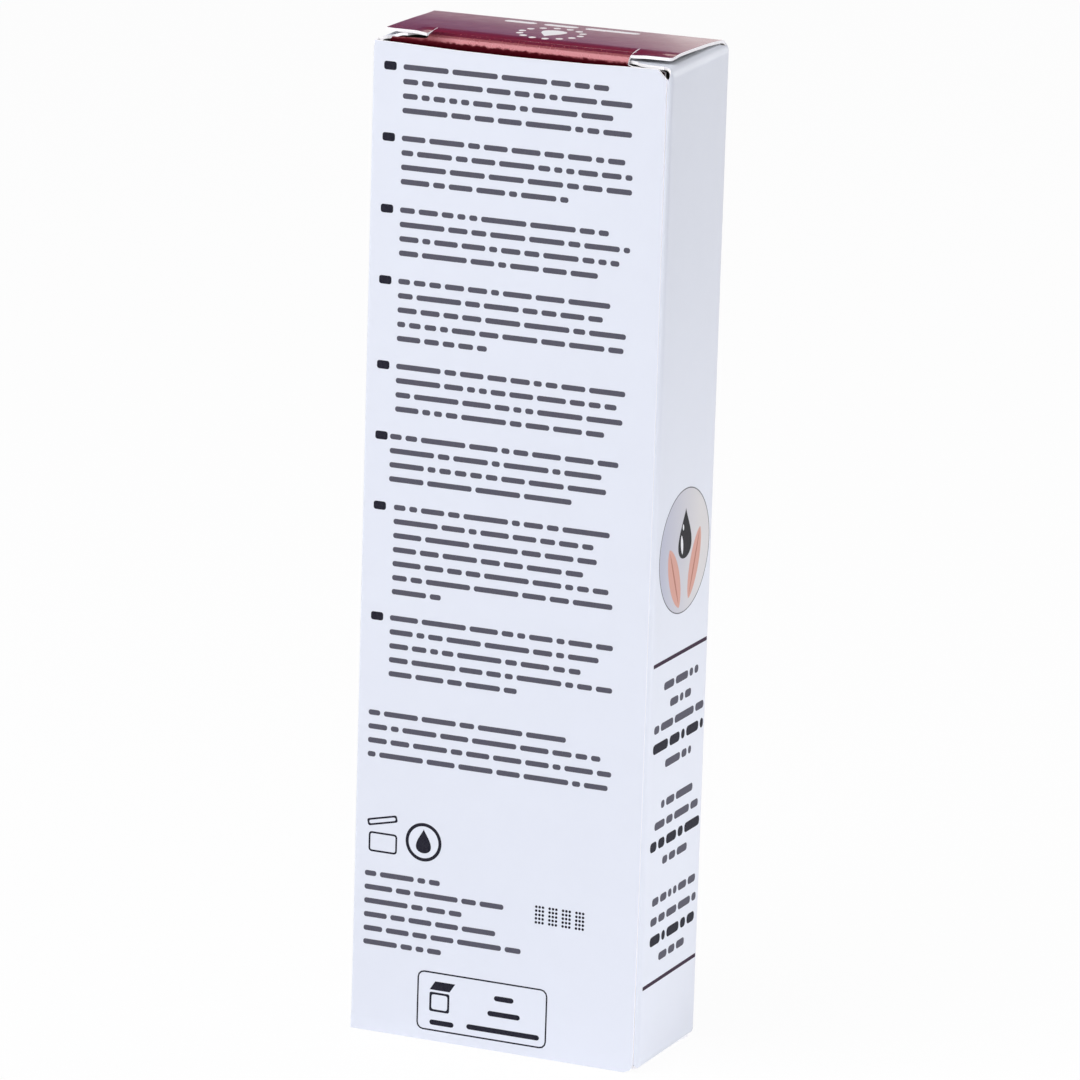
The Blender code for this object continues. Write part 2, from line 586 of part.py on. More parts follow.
def main():
    clear_scene()
    closures = [
        (end_face(LID_TOP, 1), 1, TOP_DUST_DROP, "lid"),
        (end_face(0, -1), -1, BOTTOM_DUST_DROP, "bottom"),
    ]
    sleeve = make_sleeve(closures)
    for face, sign, drop, name in closures:
        make_closure(name, face, sign, drop, sleeve)
    make_cradle(sleeve)
    pen = joint_empty("pen_slide", (0, PEN_Y, PEN_BASE), sleeve)
    make_barrel(pen)
    make_nose(pen)
    make_knob(pen)
    make_piston(pen)
    make_cap(pen)


main()
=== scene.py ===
"""Looks of the closed folding carton and of the twist-up care pen inside it.

Metres, +Z up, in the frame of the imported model. The tall printed panel faces -Y, the glued seam is
at its +X end, and the lid is hinged along the back wall.
"""

import math
import random
from itertools import accumulate

import bmesh
import bpy
from bpy.props import FloatProperty, FloatVectorProperty, PointerProperty
from mathutils import Euler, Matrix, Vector


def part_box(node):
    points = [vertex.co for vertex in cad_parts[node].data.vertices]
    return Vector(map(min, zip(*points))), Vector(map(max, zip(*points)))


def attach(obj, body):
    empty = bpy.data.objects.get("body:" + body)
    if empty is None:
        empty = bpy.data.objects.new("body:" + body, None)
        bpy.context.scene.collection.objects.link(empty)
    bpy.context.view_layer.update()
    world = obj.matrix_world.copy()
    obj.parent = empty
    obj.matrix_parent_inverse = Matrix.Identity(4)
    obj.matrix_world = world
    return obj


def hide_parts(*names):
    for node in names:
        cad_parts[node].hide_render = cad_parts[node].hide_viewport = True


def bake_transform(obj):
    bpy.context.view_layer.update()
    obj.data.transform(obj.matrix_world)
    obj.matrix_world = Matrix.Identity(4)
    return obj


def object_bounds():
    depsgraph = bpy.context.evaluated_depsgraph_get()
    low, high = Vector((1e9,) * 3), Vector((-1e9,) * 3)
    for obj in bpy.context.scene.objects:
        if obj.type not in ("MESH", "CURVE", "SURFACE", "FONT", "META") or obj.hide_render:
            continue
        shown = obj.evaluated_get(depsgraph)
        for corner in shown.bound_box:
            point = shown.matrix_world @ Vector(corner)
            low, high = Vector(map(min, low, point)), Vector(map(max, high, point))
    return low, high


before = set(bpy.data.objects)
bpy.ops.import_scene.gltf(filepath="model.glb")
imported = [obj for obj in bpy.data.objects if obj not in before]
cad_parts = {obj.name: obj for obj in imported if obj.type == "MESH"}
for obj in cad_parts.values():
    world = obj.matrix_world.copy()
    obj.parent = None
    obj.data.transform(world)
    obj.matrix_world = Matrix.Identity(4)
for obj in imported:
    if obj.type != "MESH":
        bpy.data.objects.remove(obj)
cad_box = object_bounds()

bl_info = {
    "name": "Folding carton with care pen",
    "version": (1, 0, 0),
    "blender": (4, 5, 0),
    "location": "3D View > Sidebar > Carton",
    "description": "Board, print, pen and stage around the packed carton",
    "category": "Object",
}

MM = 0.001

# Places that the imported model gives
HALF_WIDTH = cad_box[1].x
HALF_DEPTH = cad_box[1].y
TOP = cad_box[1].z
LID_LOW, LID_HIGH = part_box("lid_panel")
TUCK_LOW, TUCK_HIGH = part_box("lid_tuck")
FLAP_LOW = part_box("lid_dust_flap_right")[0]
PEN_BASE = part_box("knob_shell")[0].z
PEN_Y = -0.6 * MM

# Places that several sheets share
FRONT_HEIGHT = TOP - 1.7 * MM
SEAM_X = HALF_WIDTH - 0.85 * MM
TONGUE_END = TUCK_HIGH.y + 0.525 * MM
LUG_WIDTH = 6.45 * MM
SLIT_GAP = 0.08 * MM

# How far the board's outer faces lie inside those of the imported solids
LIFT = 0.02 * MM

# Heights on the flat walls at which the rolls of the flaps begin, and how far the lid's rear bend reaches
FOOT_FOLD = 2 * MM
TOP_FOLD = 149 * MM
CREASE_GAP = 0.3 * MM

# How far the lid's tongue falls before its roll, and its slope there in degrees
TONGUE_DROP = 0.26 * MM
TONGUE_SLOPE = 13

# Places that are nearer than this are the same place
FINE = 1e-7


def linear(hex_colour):
    """sRGB hex as linear red, green and blue."""
    channels = [int(hex_colour[i : i + 2], 16) / 255 for i in (0, 2, 4)]
    return [c / 12.92 if c <= 0.04045 else ((c + 0.055) / 1.055) ** 2.4 for c in channels]


def length(name, description, millimetres):
    return FloatProperty(name=name, description=description, default=millimetres * MM, min=0, unit="LENGTH")


def power(name, description, watts):
    return FloatProperty(name=name, description=description, default=watts, min=0, unit="POWER")


def colour(name, description, hex_colour):
    return FloatVectorProperty(
        name=name, description=description, default=linear(hex_colour), subtype="COLOR", min=0, max=1
    )


class CartonBoardSettings(bpy.types.PropertyGroup):
    """Sizes of the carton's board."""

    thickness: length("Thickness", "Thickness of the folding board", 0.45)
    roll: length("Lid roll", "Outer radius where the back wall bends into the lid", 1.3)
    side_roll: length("Flap roll", "Outer radius where the narrow walls bend into their flaps", 1.6)
    foot_roll: length("Foot roll", "Outer radius where the narrow walls bend into their foot flaps", 0.95)
    fold: length("Fold", "Outer radius of the upright folds", 0.5)
    seam_fold: length("Seam fold", "Outer radius of the fold beside the glued seam", 0.73)
    tuck_roll: length("Tuck roll", "Outer radius of the lid's front roll", 1.5)
    edge: length("Edge", "Rounding of the board's cut edges", 0.05)
    lean: length("Lean", "How far the left wall is drawn in just above its flared foot", 0.2)


class CartonColourSettings(bpy.types.PropertyGroup):
    """Colours of the board, its film and its inks."""

    coat: colour("Coat", "Clay coat of the board", "E4E8F4")
    core: colour("Core", "Cut edge of the board", "FCFBFF")
    back: colour("Back", "Uncoated back of the board", "D8D5CE")
    film: colour("Film", "Metallic film on the lid", "94152E")
    ink: colour("Ink", "Dark grey ink of the small print", "575663")
    bold_ink: colour("Bold ink", "Ink of the bold words", "1E1D2B")
    rule_ink: colour("Rule ink", "Ink of the two rules", "2C0C2E")


class PenSettings(bpy.types.PropertyGroup):
    """Sizes and colours of the pen."""

    radius: length("Radius", "Outer radius of the pen", 6)
    round: length("Rounding", "Rounding of the cap's end", 1.4)
    shell: colour("Shell", "Anodised shell of the pen", "6A1A2C")
    metal: colour("Metal", "Bright collar and end plug", "D2D3D6")


class StudioSettings(bpy.types.PropertyGroup):
    """Strength of the lamps and colour of the floor."""

    key: power("Key", "Power of the high front lamp", 9.8)
    side: power("Side", "Power of the low side lamp", 0.05)
    front: power("Front", "Power of the front fill lamp", 2)
    back: power("Back", "Power of the lamp behind", 3.6)
    sky: FloatProperty(name="Sky", description="Strength of the even light", default=0.355, min=0)
    floor: colour("Floor", "Colour of the floor", "F4F4F6")


# Materials


def add_node(material, kind, values=None, links=None):
    """A shader node with its settings and input values by name or number, and links into its inputs."""
    tree = material.node_tree
    node = tree.nodes.new("ShaderNode" + kind)
    for name, value in (values or {}).items():
        if isinstance(name, str) and hasattr(node, name):
            setattr(node, name, value)
        else:
            node.inputs[name].default_value = value
    for name, socket in (links or {}).items():
        tree.links.new(socket, node.inputs[name])
    return node


def principled(name, **values):
    """A material with a Principled shader, its values by input name with _ for a space."""
    material = bpy.data.materials.new(name)
    material.use_nodes = True
    shader = material.node_tree.nodes["Principled BSDF"]
    for key, value in values.items():
        socket = shader.inputs[key.replace("_", " ")]
        socket.default_value = (*value, 1) if socket.type == "RGBA" else value
    return material, shader


def link(material, socket, shader, name):
    material.node_tree.links.new(socket, shader.inputs[name])


def shade(value, share):
    return [c * share for c in value]


def axes(material):
    """The object's own X, Y and Z."""
    place = add_node(material, "TexCoord").outputs["Object"]
    return add_node(material, "SeparateXYZ", links={"Vector": place}).outputs


def grain(material, size, detail=2, stretch=(1, 1, 1), roughness=0.5):
    """Noise whose features are about size metres, stretched along the object's axes."""
    place = add_node(material, "TexCoord").outputs["Object"]
    scaled = add_node(material, "Mapping", {"Scale": [1 / (size * s) for s in stretch]}, {"Vector": place})
    settings = {"Scale": 1, "Detail": detail, "Roughness": roughness}
    return add_node(material, "TexNoise", settings, {"Vector": scaled.outputs["Vector"]}).outputs["Fac"]


def span(start=0.3, end=0.7, low=0, high=1):
    """Settings that turn start to end, by default the range of most noise, into low to high."""
    return {"From Min": start, "From Max": end, "To Min": low, "To Max": high}


def vary(material, shader, name, factor, low, high, start=0.3, end=0.7):
    """Lets a value of the shader go from low to high while a factor goes from start to end."""
    ranged = add_node(material, "MapRange", span(start, end, low, high), {"Value": factor})
    link(material, ranged.outputs["Result"], shader, name)


def tint(material, shader, factor, low, high):
    """Lets the base colour go from low to high with a factor."""
    mix = add_node(material, "Mix", {"data_type": "RGBA", 6: (*low, 1), 7: (*high, 1)}, {0: factor})
    link(material, mix.outputs[2], shader, "Base Color")


def relief(material, shader, height, depth, below=None):
    """A bump of depth metres, on top of another bump where one is given."""
    links = {"Height": height} if below is None else {"Height": height, "Normal": below}
    normal = add_node(material, "Bump", {"Distance": depth}, links).outputs["Normal"]
    link(material, normal, shader, "Normal")
    return normal


def coated_board(base):
    """Folding board with a varnished clay coat: even and pale, with a soft gloss over faint fibres."""
    material, shader = principled(
        "clay_coated_board", Roughness=0.42, Specular_IOR_Level=0.5, Coat_Weight=0.25, Coat_Roughness=0.22
    )
    cloud, mottle, fibre, wave = 6 * MM, 1.2 * MM, 0.45 * MM, 4 * MM
    tint(material, shader, grain(material, cloud, 3), shade(base, 0.975), base)
    vary(material, shader, "Roughness", grain(material, mottle), 0.38, 0.48)
    fibres = relief(material, shader, grain(material, fibre, 3), 0.004 * MM)
    relief(material, shader, grain(material, wave, 1), 0.03 * MM, fibres)
    return material


def cut_board(base):
    """The cut edge of bleached board: matt, with its plies along the sheet, and with painted light: a faint
    glow in its own colour, Emission Strength 0.14, that keeps it pale even in shade."""
    material, shader = principled(
        "cut_board_edge", Roughness=0.85, Specular_IOR_Level=0.3, Emission_Color=base, Emission_Strength=0.14
    )
    ply = 0.12 * MM
    plies = grain(material, ply, 2, (8, 8, 1))
    tint(material, shader, plies, shade(base, 0.93), base)
    relief(material, shader, plies, 0.006 * MM)
    return material


def plain_board(base):
    """The uncoated back of the board: greyish, matt and speckled with longer fibres."""
    material, shader = principled("uncoated_board_back", Roughness=0.9, Specular_IOR_Level=0.25)
    speck, fibre = 0.5 * MM, 0.3 * MM
    noise = grain(material, speck, 4, (1, 1, 3))
    specks = add_node(material, "MapRange", span(0.35, 0.65), {"Value": noise}).outputs["Result"]
    tint(material, shader, specks, shade(base, 0.88), base)
    relief(material, shader, grain(material, fibre, 3, (1, 1, 2)), 0.012 * MM)
    return material


def burgundy_film(base):
    """Board laminated with dyed, partly metallised film: deep red under a clear, slightly wavy gloss."""
    material, shader = principled(
        "metallised_film_laminate",
        Metallic=0.25,
        Roughness=0.17,
        IOR=1.7,
        Coat_Weight=0.4,
        Coat_Roughness=0.1,
    )
    cloud, haze, fibre, wave = 5 * MM, 2 * MM, 0.6 * MM, 3.5 * MM
    tint(material, shader, grain(material, cloud, 3), shade(base, 0.93), base)
    vary(material, shader, "Roughness", grain(material, haze, 3), 0.14, 0.2)
    fine = relief(material, shader, grain(material, fibre, 3), 0.003 * MM)
    relief(material, shader, grain(material, wave, 1), 0.02 * MM, fine)
    return material


def creased_film(base):
    """The same film bent over the front crease, with painted light and shade: its colour is darkened to
    painted shade down in the slot and, less, at its left end, and its specular and coat are turned down
    there, so that the lamps leave a crackled highlight only in a band on top."""
    material, shader = principled("metallised_film_over_crease", Metallic=0.25, IOR=1.7, Coat_Roughness=0.1)
    crackle, fleck, haze = 0.9 * MM, 0.45 * MM, 0.5 * MM
    noise = grain(material, crackle, 3, roughness=0.65)
    x, _, z = axes(material)
    ragged = add_node(material, "MapRange", span(low=-0.22 * MM, high=0.22 * MM), {"Value": noise})
    sunk = add_node(material, "MapRange", span(-10 * MM, 12 * MM, -0.25 * MM, 0), {"Value": x})
    edge = add_node(material, "Math", {"operation": "ADD"}, {0: ragged.outputs[0], 1: sunk.outputs[0]})
    level = add_node(material, "Math", {"operation": "ADD"}, {0: z, 1: edge.outputs[0]}).outputs[0]
    # Painted shade: this mask is 0 down in the slot, below a ragged line that rises a little towards the
    # left, and 1 above it
    upper = add_node(material, "MapRange", span(TOP - 1.72 * MM, TOP - 1.48 * MM), {"Value": level})
    # Painted shade at the left end: there the mask reaches only 0.3, from x -11 mm leftwards to -15 mm
    sharp = add_node(material, "MapRange", span(-15 * MM, -11 * MM, 0.3, 1), {"Value": x})
    painted_light_mask = add_node(
        material, "Math", {"operation": "MULTIPLY"}, {0: upper.outputs[0], 1: sharp.outputs[0]}
    ).outputs[0]
    # Painted light and shade: the colour goes from 0.22 of the film's in the slot to 0.8 of it on the band
    # on top, and the gloss goes with it
    tint(material, shader, painted_light_mask, shade(base, 0.22), shade(base, 0.8))
    vary(material, shader, "Specular IOR Level", painted_light_mask, 0.02, 0.5, 0, 1)
    vary(material, shader, "Coat Weight", painted_light_mask, 0, 0.4, 0, 1)
    vary(material, shader, "Roughness", grain(material, haze, 3), 0.12, 0.3)
    relief(material, shader, grain(material, fleck, 4), 0.05 * MM)
    return material


def offset_ink(name, base, roughness=0.5):
    """Offset ink on the coat: matt, dense and a little uneven in cover."""
    material, shader = principled(name, Roughness=roughness, Specular_IOR_Level=0.04)
    dot = 0.15 * MM
    cover = add_node(material, "MapRange", span(), {"Value": grain(material, dot, 2)}).outputs["Result"]
    tint(material, shader, cover, base, [c + (1 - c) * 0.02 for c in base])
    return material


def anodised_shell(base):
    """Drawn aluminium, turned, anodised and dyed: satin metal with fine rings round it."""
    material, shader = principled("anodised_turned_aluminium", Metallic=1, Roughness=0.3)
    tool_mark = 0.12 * MM
    rings = grain(material, tool_mark, 2, (40, 40, 1))
    tint(material, shader, rings, shade(base, 0.88), base)
    vary(material, shader, "Roughness", rings, 0.26, 0.36)
    relief(material, shader, rings, 0.003 * MM)
    return material


def bright_metal(base):
    """Bright-dipped aluminium: nearly a mirror, with faint turning rings."""
    material, shader = principled("bright_dipped_aluminium", Metallic=1, Roughness=0.18)
    tool_mark = 0.1 * MM
    rings = grain(material, tool_mark, 2, (40, 40, 1))
    tint(material, shader, rings, shade(base, 0.93), base)
    relief(material, shader, rings, 0.0015 * MM)
    return material


def moulded_plastic(name, hex_colour, roughness, clearness=0.0):
    """Injection-moulded plastic: an even colour with a fine spark-eroded texture."""
    base = linear(hex_colour)
    material, shader = principled(name, Roughness=roughness, Transmission_Weight=clearness, IOR=1.49)
    spark = 0.2 * MM
    skin = grain(material, spark, 3)
    tint(material, shader, skin, shade(base, 0.95), base)
    relief(material, shader, skin, 0.004 * MM)
    return material


def nylon_hair():
    """Tapered nylon filament: pale, slightly clear, with a soft gloss along it."""
    base = linear("D8CBB4")
    material, shader = principled(
        "nylon_filament", Roughness=0.4, Subsurface_Weight=0.2, Subsurface_Scale=0.5 * MM
    )
    streak = 0.15 * MM
    tint(material, shader, grain(material, streak, 2, (1, 1, 20)), shade(base, 0.8), base)
    return material


def picture_ground():
    """Halftone ground of the round picture: a pale warm grey that deepens towards one side."""
    material, shader = principled("printed_picture_ground", Roughness=0.42)
    across = add_node(material, "MapRange", span(-8 * MM, 6 * MM), {"Value": axes(material)["Y"]})
    tint(material, shader, across.outputs["Result"], linear("B7B9CC"), linear("D9D6D8"))
    return material


# Sheets and outlines


def trace(start, heading, moves):
    """A path of straight runs and left turns, as (length, point, heading, bend) pieces.

    A move is ("go", length) or ("turn", radius), with degrees after it where it isn't 90.
    """
    point, pieces = Vector(start), []
    for kind, size, *degrees in moves:
        if kind == "go":
            pieces.append((size, point, heading, 0))
            point = point + size * Vector((math.cos(heading), math.sin(heading)))
        else:
            turned = heading + math.radians(*degrees or (90,))
            pieces.append((size * (turned - heading), point, heading, 1 / size))
            point = point + size * arc_step(heading, turned)
            heading = turned
    return pieces


def arc_step(heading, turned):
    """The way from one end of a left turn of radius 1 to the other."""
    return Vector((math.sin(turned) - math.sin(heading), math.cos(heading) - math.cos(turned)))


def along(pieces, distance):
    """Where a path is after a distance, and the direction that lies on its right."""
    for size, point, heading, bend in pieces:
        if distance <= size + FINE or pieces[-1][1] is point:
            break
        distance -= size
    angle = heading + bend * distance
    if bend:
        step = arc_step(heading, angle) / bend
    else:
        step = distance * Vector((math.cos(heading), math.sin(heading)))
    return point + step, Vector((math.sin(angle), -math.cos(angle)))


def marks(pieces, steps=6):
    """Distances along a path at its bends and in them, where a sheet needs an edge."""
    places, reached = [], 0
    for size, _, _, bend in pieces:
        parts = steps if bend else 1
        places += [reached + size * i / parts for i in range(parts)]
        reached += size
    return places[1:], reached


def arc_points(centre, radius, start, end, steps=6):
    """Points on an arc from one angle to another, in degrees."""
    angles = [math.radians(start + (end - start) * i / steps) for i in range(steps + 1)]
    return [(centre[0] + radius * math.cos(a), centre[1] + radius * math.sin(a)) for a in angles]


def circle(centre, radius, count):
    """So many points on a circle."""
    return arc_points(centre, radius, 0, 360 - 360 / count, count - 1)


def smooth(value):
    """0 up to 1 for a value from 0 to 1, level at both ends."""
    value = min(max(value, 0), 1)
    return value * value * (3 - 2 * value)


def cut_sheet(outlines, cuts=()):
    """A flat mesh of the outlines, with edges along the lines of cuts, u first and then v."""
    flat = bmesh.new()
    for outline in outlines:
        corners = [flat.verts.new((u, v, 0)) for u, v in outline]
        for first, second in zip(corners, corners[1:] + corners[:1]):
            flat.edges.new((first, second))
    bmesh.ops.triangle_fill(flat, use_beauty=False, edges=flat.edges[:], normal=(0, 0, 1))
    for axis, places in enumerate(cuts):
        direction = Vector((1 - axis, axis, 0))
        for place in places:
            whole = [*flat.verts, *flat.edges, *flat.faces]
            bmesh.ops.bisect_plane(
                flat, geom=whole, dist=FINE, plane_co=direction * place, plane_no=direction
            )
    flat.verts.index_update()
    return flat


def close_sheet(bm, flat, place, depths, slots=(0, 0, 0), paint=None):
    """Makes a flat mesh a closed sheet between two depths, with material slots for its outer face, its
    inner face and its cut edges. Gives each cut face with its middle on the flat mesh."""
    outer, inner = ([bm.verts.new(place(v.co.x, v.co.y, depth)) for v in flat.verts] for depth in depths)
    for face in flat.faces:
        order = [v.index for v in face.verts]
        middle = face.calc_center_median().xy
        bm.faces.new([outer[i] for i in order]).material_index = paint(*middle) if paint else slots[0]
        bm.faces.new([inner[i] for i in order[::-1]]).material_index = slots[1]
    cuts = []
    for side in flat.edges:
        if side.is_boundary:
            a, b = (v.index for v in side.verts)
            cut = bm.faces.new((outer[a], outer[b], inner[b], inner[a]))
            cut.material_index = slots[2]
            cuts.append((cut, ((side.verts[0].co + side.verts[1].co) / 2).xy))
    flat.free()
    return cuts


def finish_mesh(name, bm, materials, angle=35):
    """An object from a bmesh, smooth apart from its sharp edges, with its materials."""
    bmesh.ops.recalc_face_normals(bm, faces=bm.faces)
    mesh = bpy.data.meshes.new(name)
    bm.to_mesh(mesh)
    bm.free()
    for material in materials:
        mesh.materials.append(material)
    mesh.shade_smooth()
    mesh.set_sharp_from_angle(angle=math.radians(angle))
    item = bpy.data.objects.new(name, mesh)
    bpy.context.scene.collection.objects.link(item)
    return item


def stand_for(item, node, slot, body):
    """Hides the packed piece that a piece stands for, and gives the piece its body. The slot is not used."""
    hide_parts(node)
    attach(item, body)


def hinge(item, node, slot, start, end):
    """Hides the packed flap that a sheet stands for and bakes the sheet's transform into its mesh. The slot,
    start and end are not used.
    """
    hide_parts(node)
    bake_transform(item)
    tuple(start)
    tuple(end)


# Board


def board_piece(board, name, outline, cuts, fold, coats, joined, paint=None):
    """A closed sheet of board, cut to an outline in its plane and bent by fold(u, v, depth).

    joined(u, v) tells where an edge meets the next sheet and so isn't rounded. paint(u, v), where it is
    given, tells the material slot of an outer face.
    """
    shell = bmesh.new()
    weight = shell.edges.layers.float.new("bevel_weight_edge")
    depths = (LIFT, LIFT + board.thickness)
    for cut, middle in close_sheet(shell, cut_sheet([outline], cuts), fold, depths, (0, 1, 2), paint):
        if not joined(*middle):
            cut.edges[0][weight] = cut.edges[2][weight] = 1
    item = finish_mesh(name, shell, coats)
    bevel = item.modifiers.new("cut_edges", "BEVEL")
    bevel.limit_method = "WEIGHT"
    bevel.width = board.edge
    bevel.segments = 2
    return item


def lean(point, board):
    """Draws the left wall in above its flared foot, and less and less towards the top."""
    flare = 3 * MM
    if point.x < 0:
        share = (1 - point.z / TOP) * smooth(point.z / flare)
        point.x -= board.lean * share * point.x / HALF_WIDTH
    return point


def lid_crown(sign, y):
    """How far the lid falls away from its level middle, 2 mm deep, towards its back and front creases."""
    if sign < 0:
        return 0
    back = max(y / MM - 1, 0) / 8.45
    front = max(-y / MM - 1, 0) / 5.875
    return (0.14 * back * back + 0.05 * front * front) * MM


def rising_edge(y):
    """0 on most of a left flap and 1 at its front edge, where it bends up or down."""
    return smooth((-y - 4 * MM) / (3.5 * MM))


def flap_drop(sign, side, y):
    """Depth of a dust flap's outer face below the end's own outer face, at y."""
    if sign < 0:
        return 0.49 * MM
    if side > 0:
        return 1.32 * MM - 0.79 * MM * smooth((y + HALF_DEPTH) / (2 * HALF_DEPTH))
    return 0.7 * MM + 0.45 * MM * rising_edge(y)


# The board's finishes, made once
BOARD_COATS = {}


def board_coats(context, *names):
    """The finishes of a sheet's faces by name: coat, back, core, film or roll."""
    if not BOARD_COATS:
        colours = context.scene.carton_colours
        BOARD_COATS["coat"] = coated_board(colours.coat)
        BOARD_COATS["back"] = plain_board(colours.back)
        BOARD_COATS["core"] = cut_board(colours.core)
        BOARD_COATS["film"] = burgundy_film(colours.film)
        BOARD_COATS["roll"] = creased_film(colours.film)
    return [BOARD_COATS[name] for name in names]


# Each end's name, its sign, and the height at a depth below its outer face
ENDS = (("lid", 1, lambda depth: TOP - depth), ("bottom", -1, lambda depth: depth))


class CARTON_OT_sleeve(bpy.types.Operator):
    """Fold the four walls of the carton, with the glue flap behind the seam"""

    bl_idname = "carton.sleeve"
    bl_label = "Fold the sleeve"

    def execute(self, context):
        board = context.scene.carton_board
        coats = board_coats(context, "coat", "back", "core", "film")
        stand_for(self.walls(board, coats), "carton_sleeve", "board_white", "carton")
        flap = self.glue_flap(board, coats[:3])
        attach(flap, "carton")
        return {"FINISHED"}

    def walls(self, board, coats):
        """The walls as one sheet, from the seam's fold round the back to the front panel's free edge."""
        roll, fold, seam_fold = board.roll, board.fold, board.seam_fold
        recess = 0.1 * MM
        runs = (
            (seam_fold, 2 * HALF_DEPTH - recess - fold - seam_fold),
            (fold, 2 * (HALF_WIDTH - fold)),
            (fold, 2 * (HALF_DEPTH - fold)),
            (fold, SEAM_X + HALF_WIDTH - fold),
        )
        moves = [move for radius, run in runs for move in (("turn", radius), ("go", run))]
        path = trace((HALF_WIDTH - seam_fold, -HALF_DEPTH + recess), 0, moves)
        places, end = marks(path)
        reached = list(accumulate(piece[0] for piece in path))
        right_start, right_end, back_start, back_end = reached[:4]
        left_start, left_end, front_start = reached[4:7]
        corner_left = (left_end + front_start) / 2
        middle = (back_start + back_end) / 2
        near = 0.5 * MM
        turning = left_start - back_end + 2 * near
        quarter = math.pi / 2

        def backness(u):
            """0 on a narrow wall, 1 on the back wall, and smooth round the corners between them."""
            if u < middle:
                return smooth((u - right_end + near) / turning)
            return 1 - smooth((u - back_end + near) / turning)

        def bend(u, v, depth):
            """Folds the walls and rolls their ends inwards, by one radian for each flat millimetre."""
            point, out = along(path, u)
            inward, height = depth, v
            if u <= corner_left:
                back = backness(u)
                side = 1 if u < middle else -1
                radii = [own * (1 - back) + roll * back for own in (board.foot_roll, board.side_roll)]
                crowns = [lid_crown(sign, HALF_DEPTH - roll) for sign in (-1, 1)]
                low, high = (
                    flap_drop(sign, side, point.y) * (1 - back) + crown * back + radius
                    for sign, crown, radius in zip((-1, 1), crowns, radii)
                )
                radius = radii[v > TOP_FOLD]
                high = TOP - high
                height = low + (v - FOOT_FOLD) * (high - low) / (TOP_FOLD - FOOT_FOLD)
                beyond = max(v - TOP_FOLD, FOOT_FOLD - v)
                if beyond > 0:
                    angle = beyond / MM
                    inward = radius - (radius - depth) * math.cos(angle)
                    rise = (radius - depth) * math.sin(angle)
                    height = high + rise if v > TOP_FOLD else low - rise
            point = point - out * inward
            return lean(Vector((point.x, point.y, height)), board)

        def notch(wall, back, way):
            """The rolled edge round a back corner, cut low between the flap's roll and the lid's."""
            flap = [(wall - way * u * MM, kept) for u, kept in ((1.25, quarter), (1.15, 1), (0.1, 0.73))]
            lid = [(back + way * u * MM, kept) for u, kept in ((0.05, 0.73), (0.1, quarter))]
            return [*flap, ((wall + back) / 2, 0.65), *lid]

        # Places along the rolled edge, each with how far the roll is kept there in radians
        seam_top = [(0, -0.25), (0.18, 0), (0.34, 0.28), (0.48, 0.6), (0.6, 0.95), (0.7, 1.3)]
        seam_top += [(0.78, quarter)]
        seam_foot = [(0, 0.2), (0.4, 0.5), (0.7, 0.8), (0.9, 1.2)]
        rim, foot = ([(share * right_start, kept) for share, kept in seam] for seam in (seam_top, seam_foot))
        foot += [(right_start + 0.1 * MM, quarter)]
        rest = notch(right_end, back_start, 1) + notch(left_start, back_end, -1)[::-1]
        rest += [(left_end - 1.2 * MM, quarter), (left_end - 1.05 * MM, 1), (left_end - 0.5 * MM, 0.5)]
        rest += [(corner_left, 0.1)]
        top = [(u, TOP_FOLD + kept * MM) for u, kept in rim + rest]
        base = [(u, FOOT_FOLD - kept * MM) for u, kept in foot + rest]

        # The front panel's edge dips between its ends, and its free side stands out a little at mid height
        chamfer, swell = 1.4 * MM, 0.09 * MM
        for share, dip in ((0, 0), (0.1, 0.1), (0.3, 0.35), (0.5, 0.42), (0.75, 0.32), (0.9, 0.1), (1, 0)):
            top.append((corner_left + share * (end - chamfer - corner_left), FRONT_HEIGHT - dip * MM))
        top += [(end, FRONT_HEIGHT - chamfer), (end, FRONT_HEIGHT - 12 * MM)]
        top += [(end + swell, FRONT_HEIGHT - 40 * MM)]
        base += [(corner_left, 0), (end - chamfer, 0), (end - 0.3 * MM, 0.5 * MM), (end, chamfer)]
        base += [(end, 10 * MM), (end + swell, 35 * MM)]

        places += [corner - near + turning * i / 5 for corner in (right_end, back_end) for i in range(6)]
        rises = [quarter * i / 6 * MM for i in range(6)]
        levels = [TOP_FOLD + rise for rise in rises] + [FOOT_FOLD - rise for rise in rises]
        levels += [3 * MM * i / 5 for i in range(1, 6)]

        def joined(u, v):
            return abs(max(v - TOP_FOLD, FOOT_FOLD - v) - quarter * MM) < FINE

        def paint(u, v):
            """The lid's film, from where the back wall's roll begins, and the coat elsewhere."""
            return 3 if right_end < u < left_start and v > TOP_FOLD and backness(u) > 0.55 else 0

        return board_piece(
            board, "carton_walls", base + top[::-1], (places, levels), bend, coats, joined, paint
        )

    def glue_flap(self, board, coats):
        """The flap on the narrow wall's front edge, glued behind the front panel."""
        reach, short, taper = 12 * MM, 13 * MM, 3 * MM
        inner, tip = HALF_WIDTH - board.thickness, SEAM_X - reach
        low, high = short, FRONT_HEIGHT - short
        outline = [(tip, low + taper), (inner, low), (inner, high), (tip, high - taper)]
        behind = -HALF_DEPTH + board.thickness + LIFT
        return board_piece(
            board,
            "glue_flap",
            outline,
            (),
            lambda u, v, depth: Vector((u, behind + depth, v)),
            coats,
            lambda u, v: u > inner - FINE,
        )


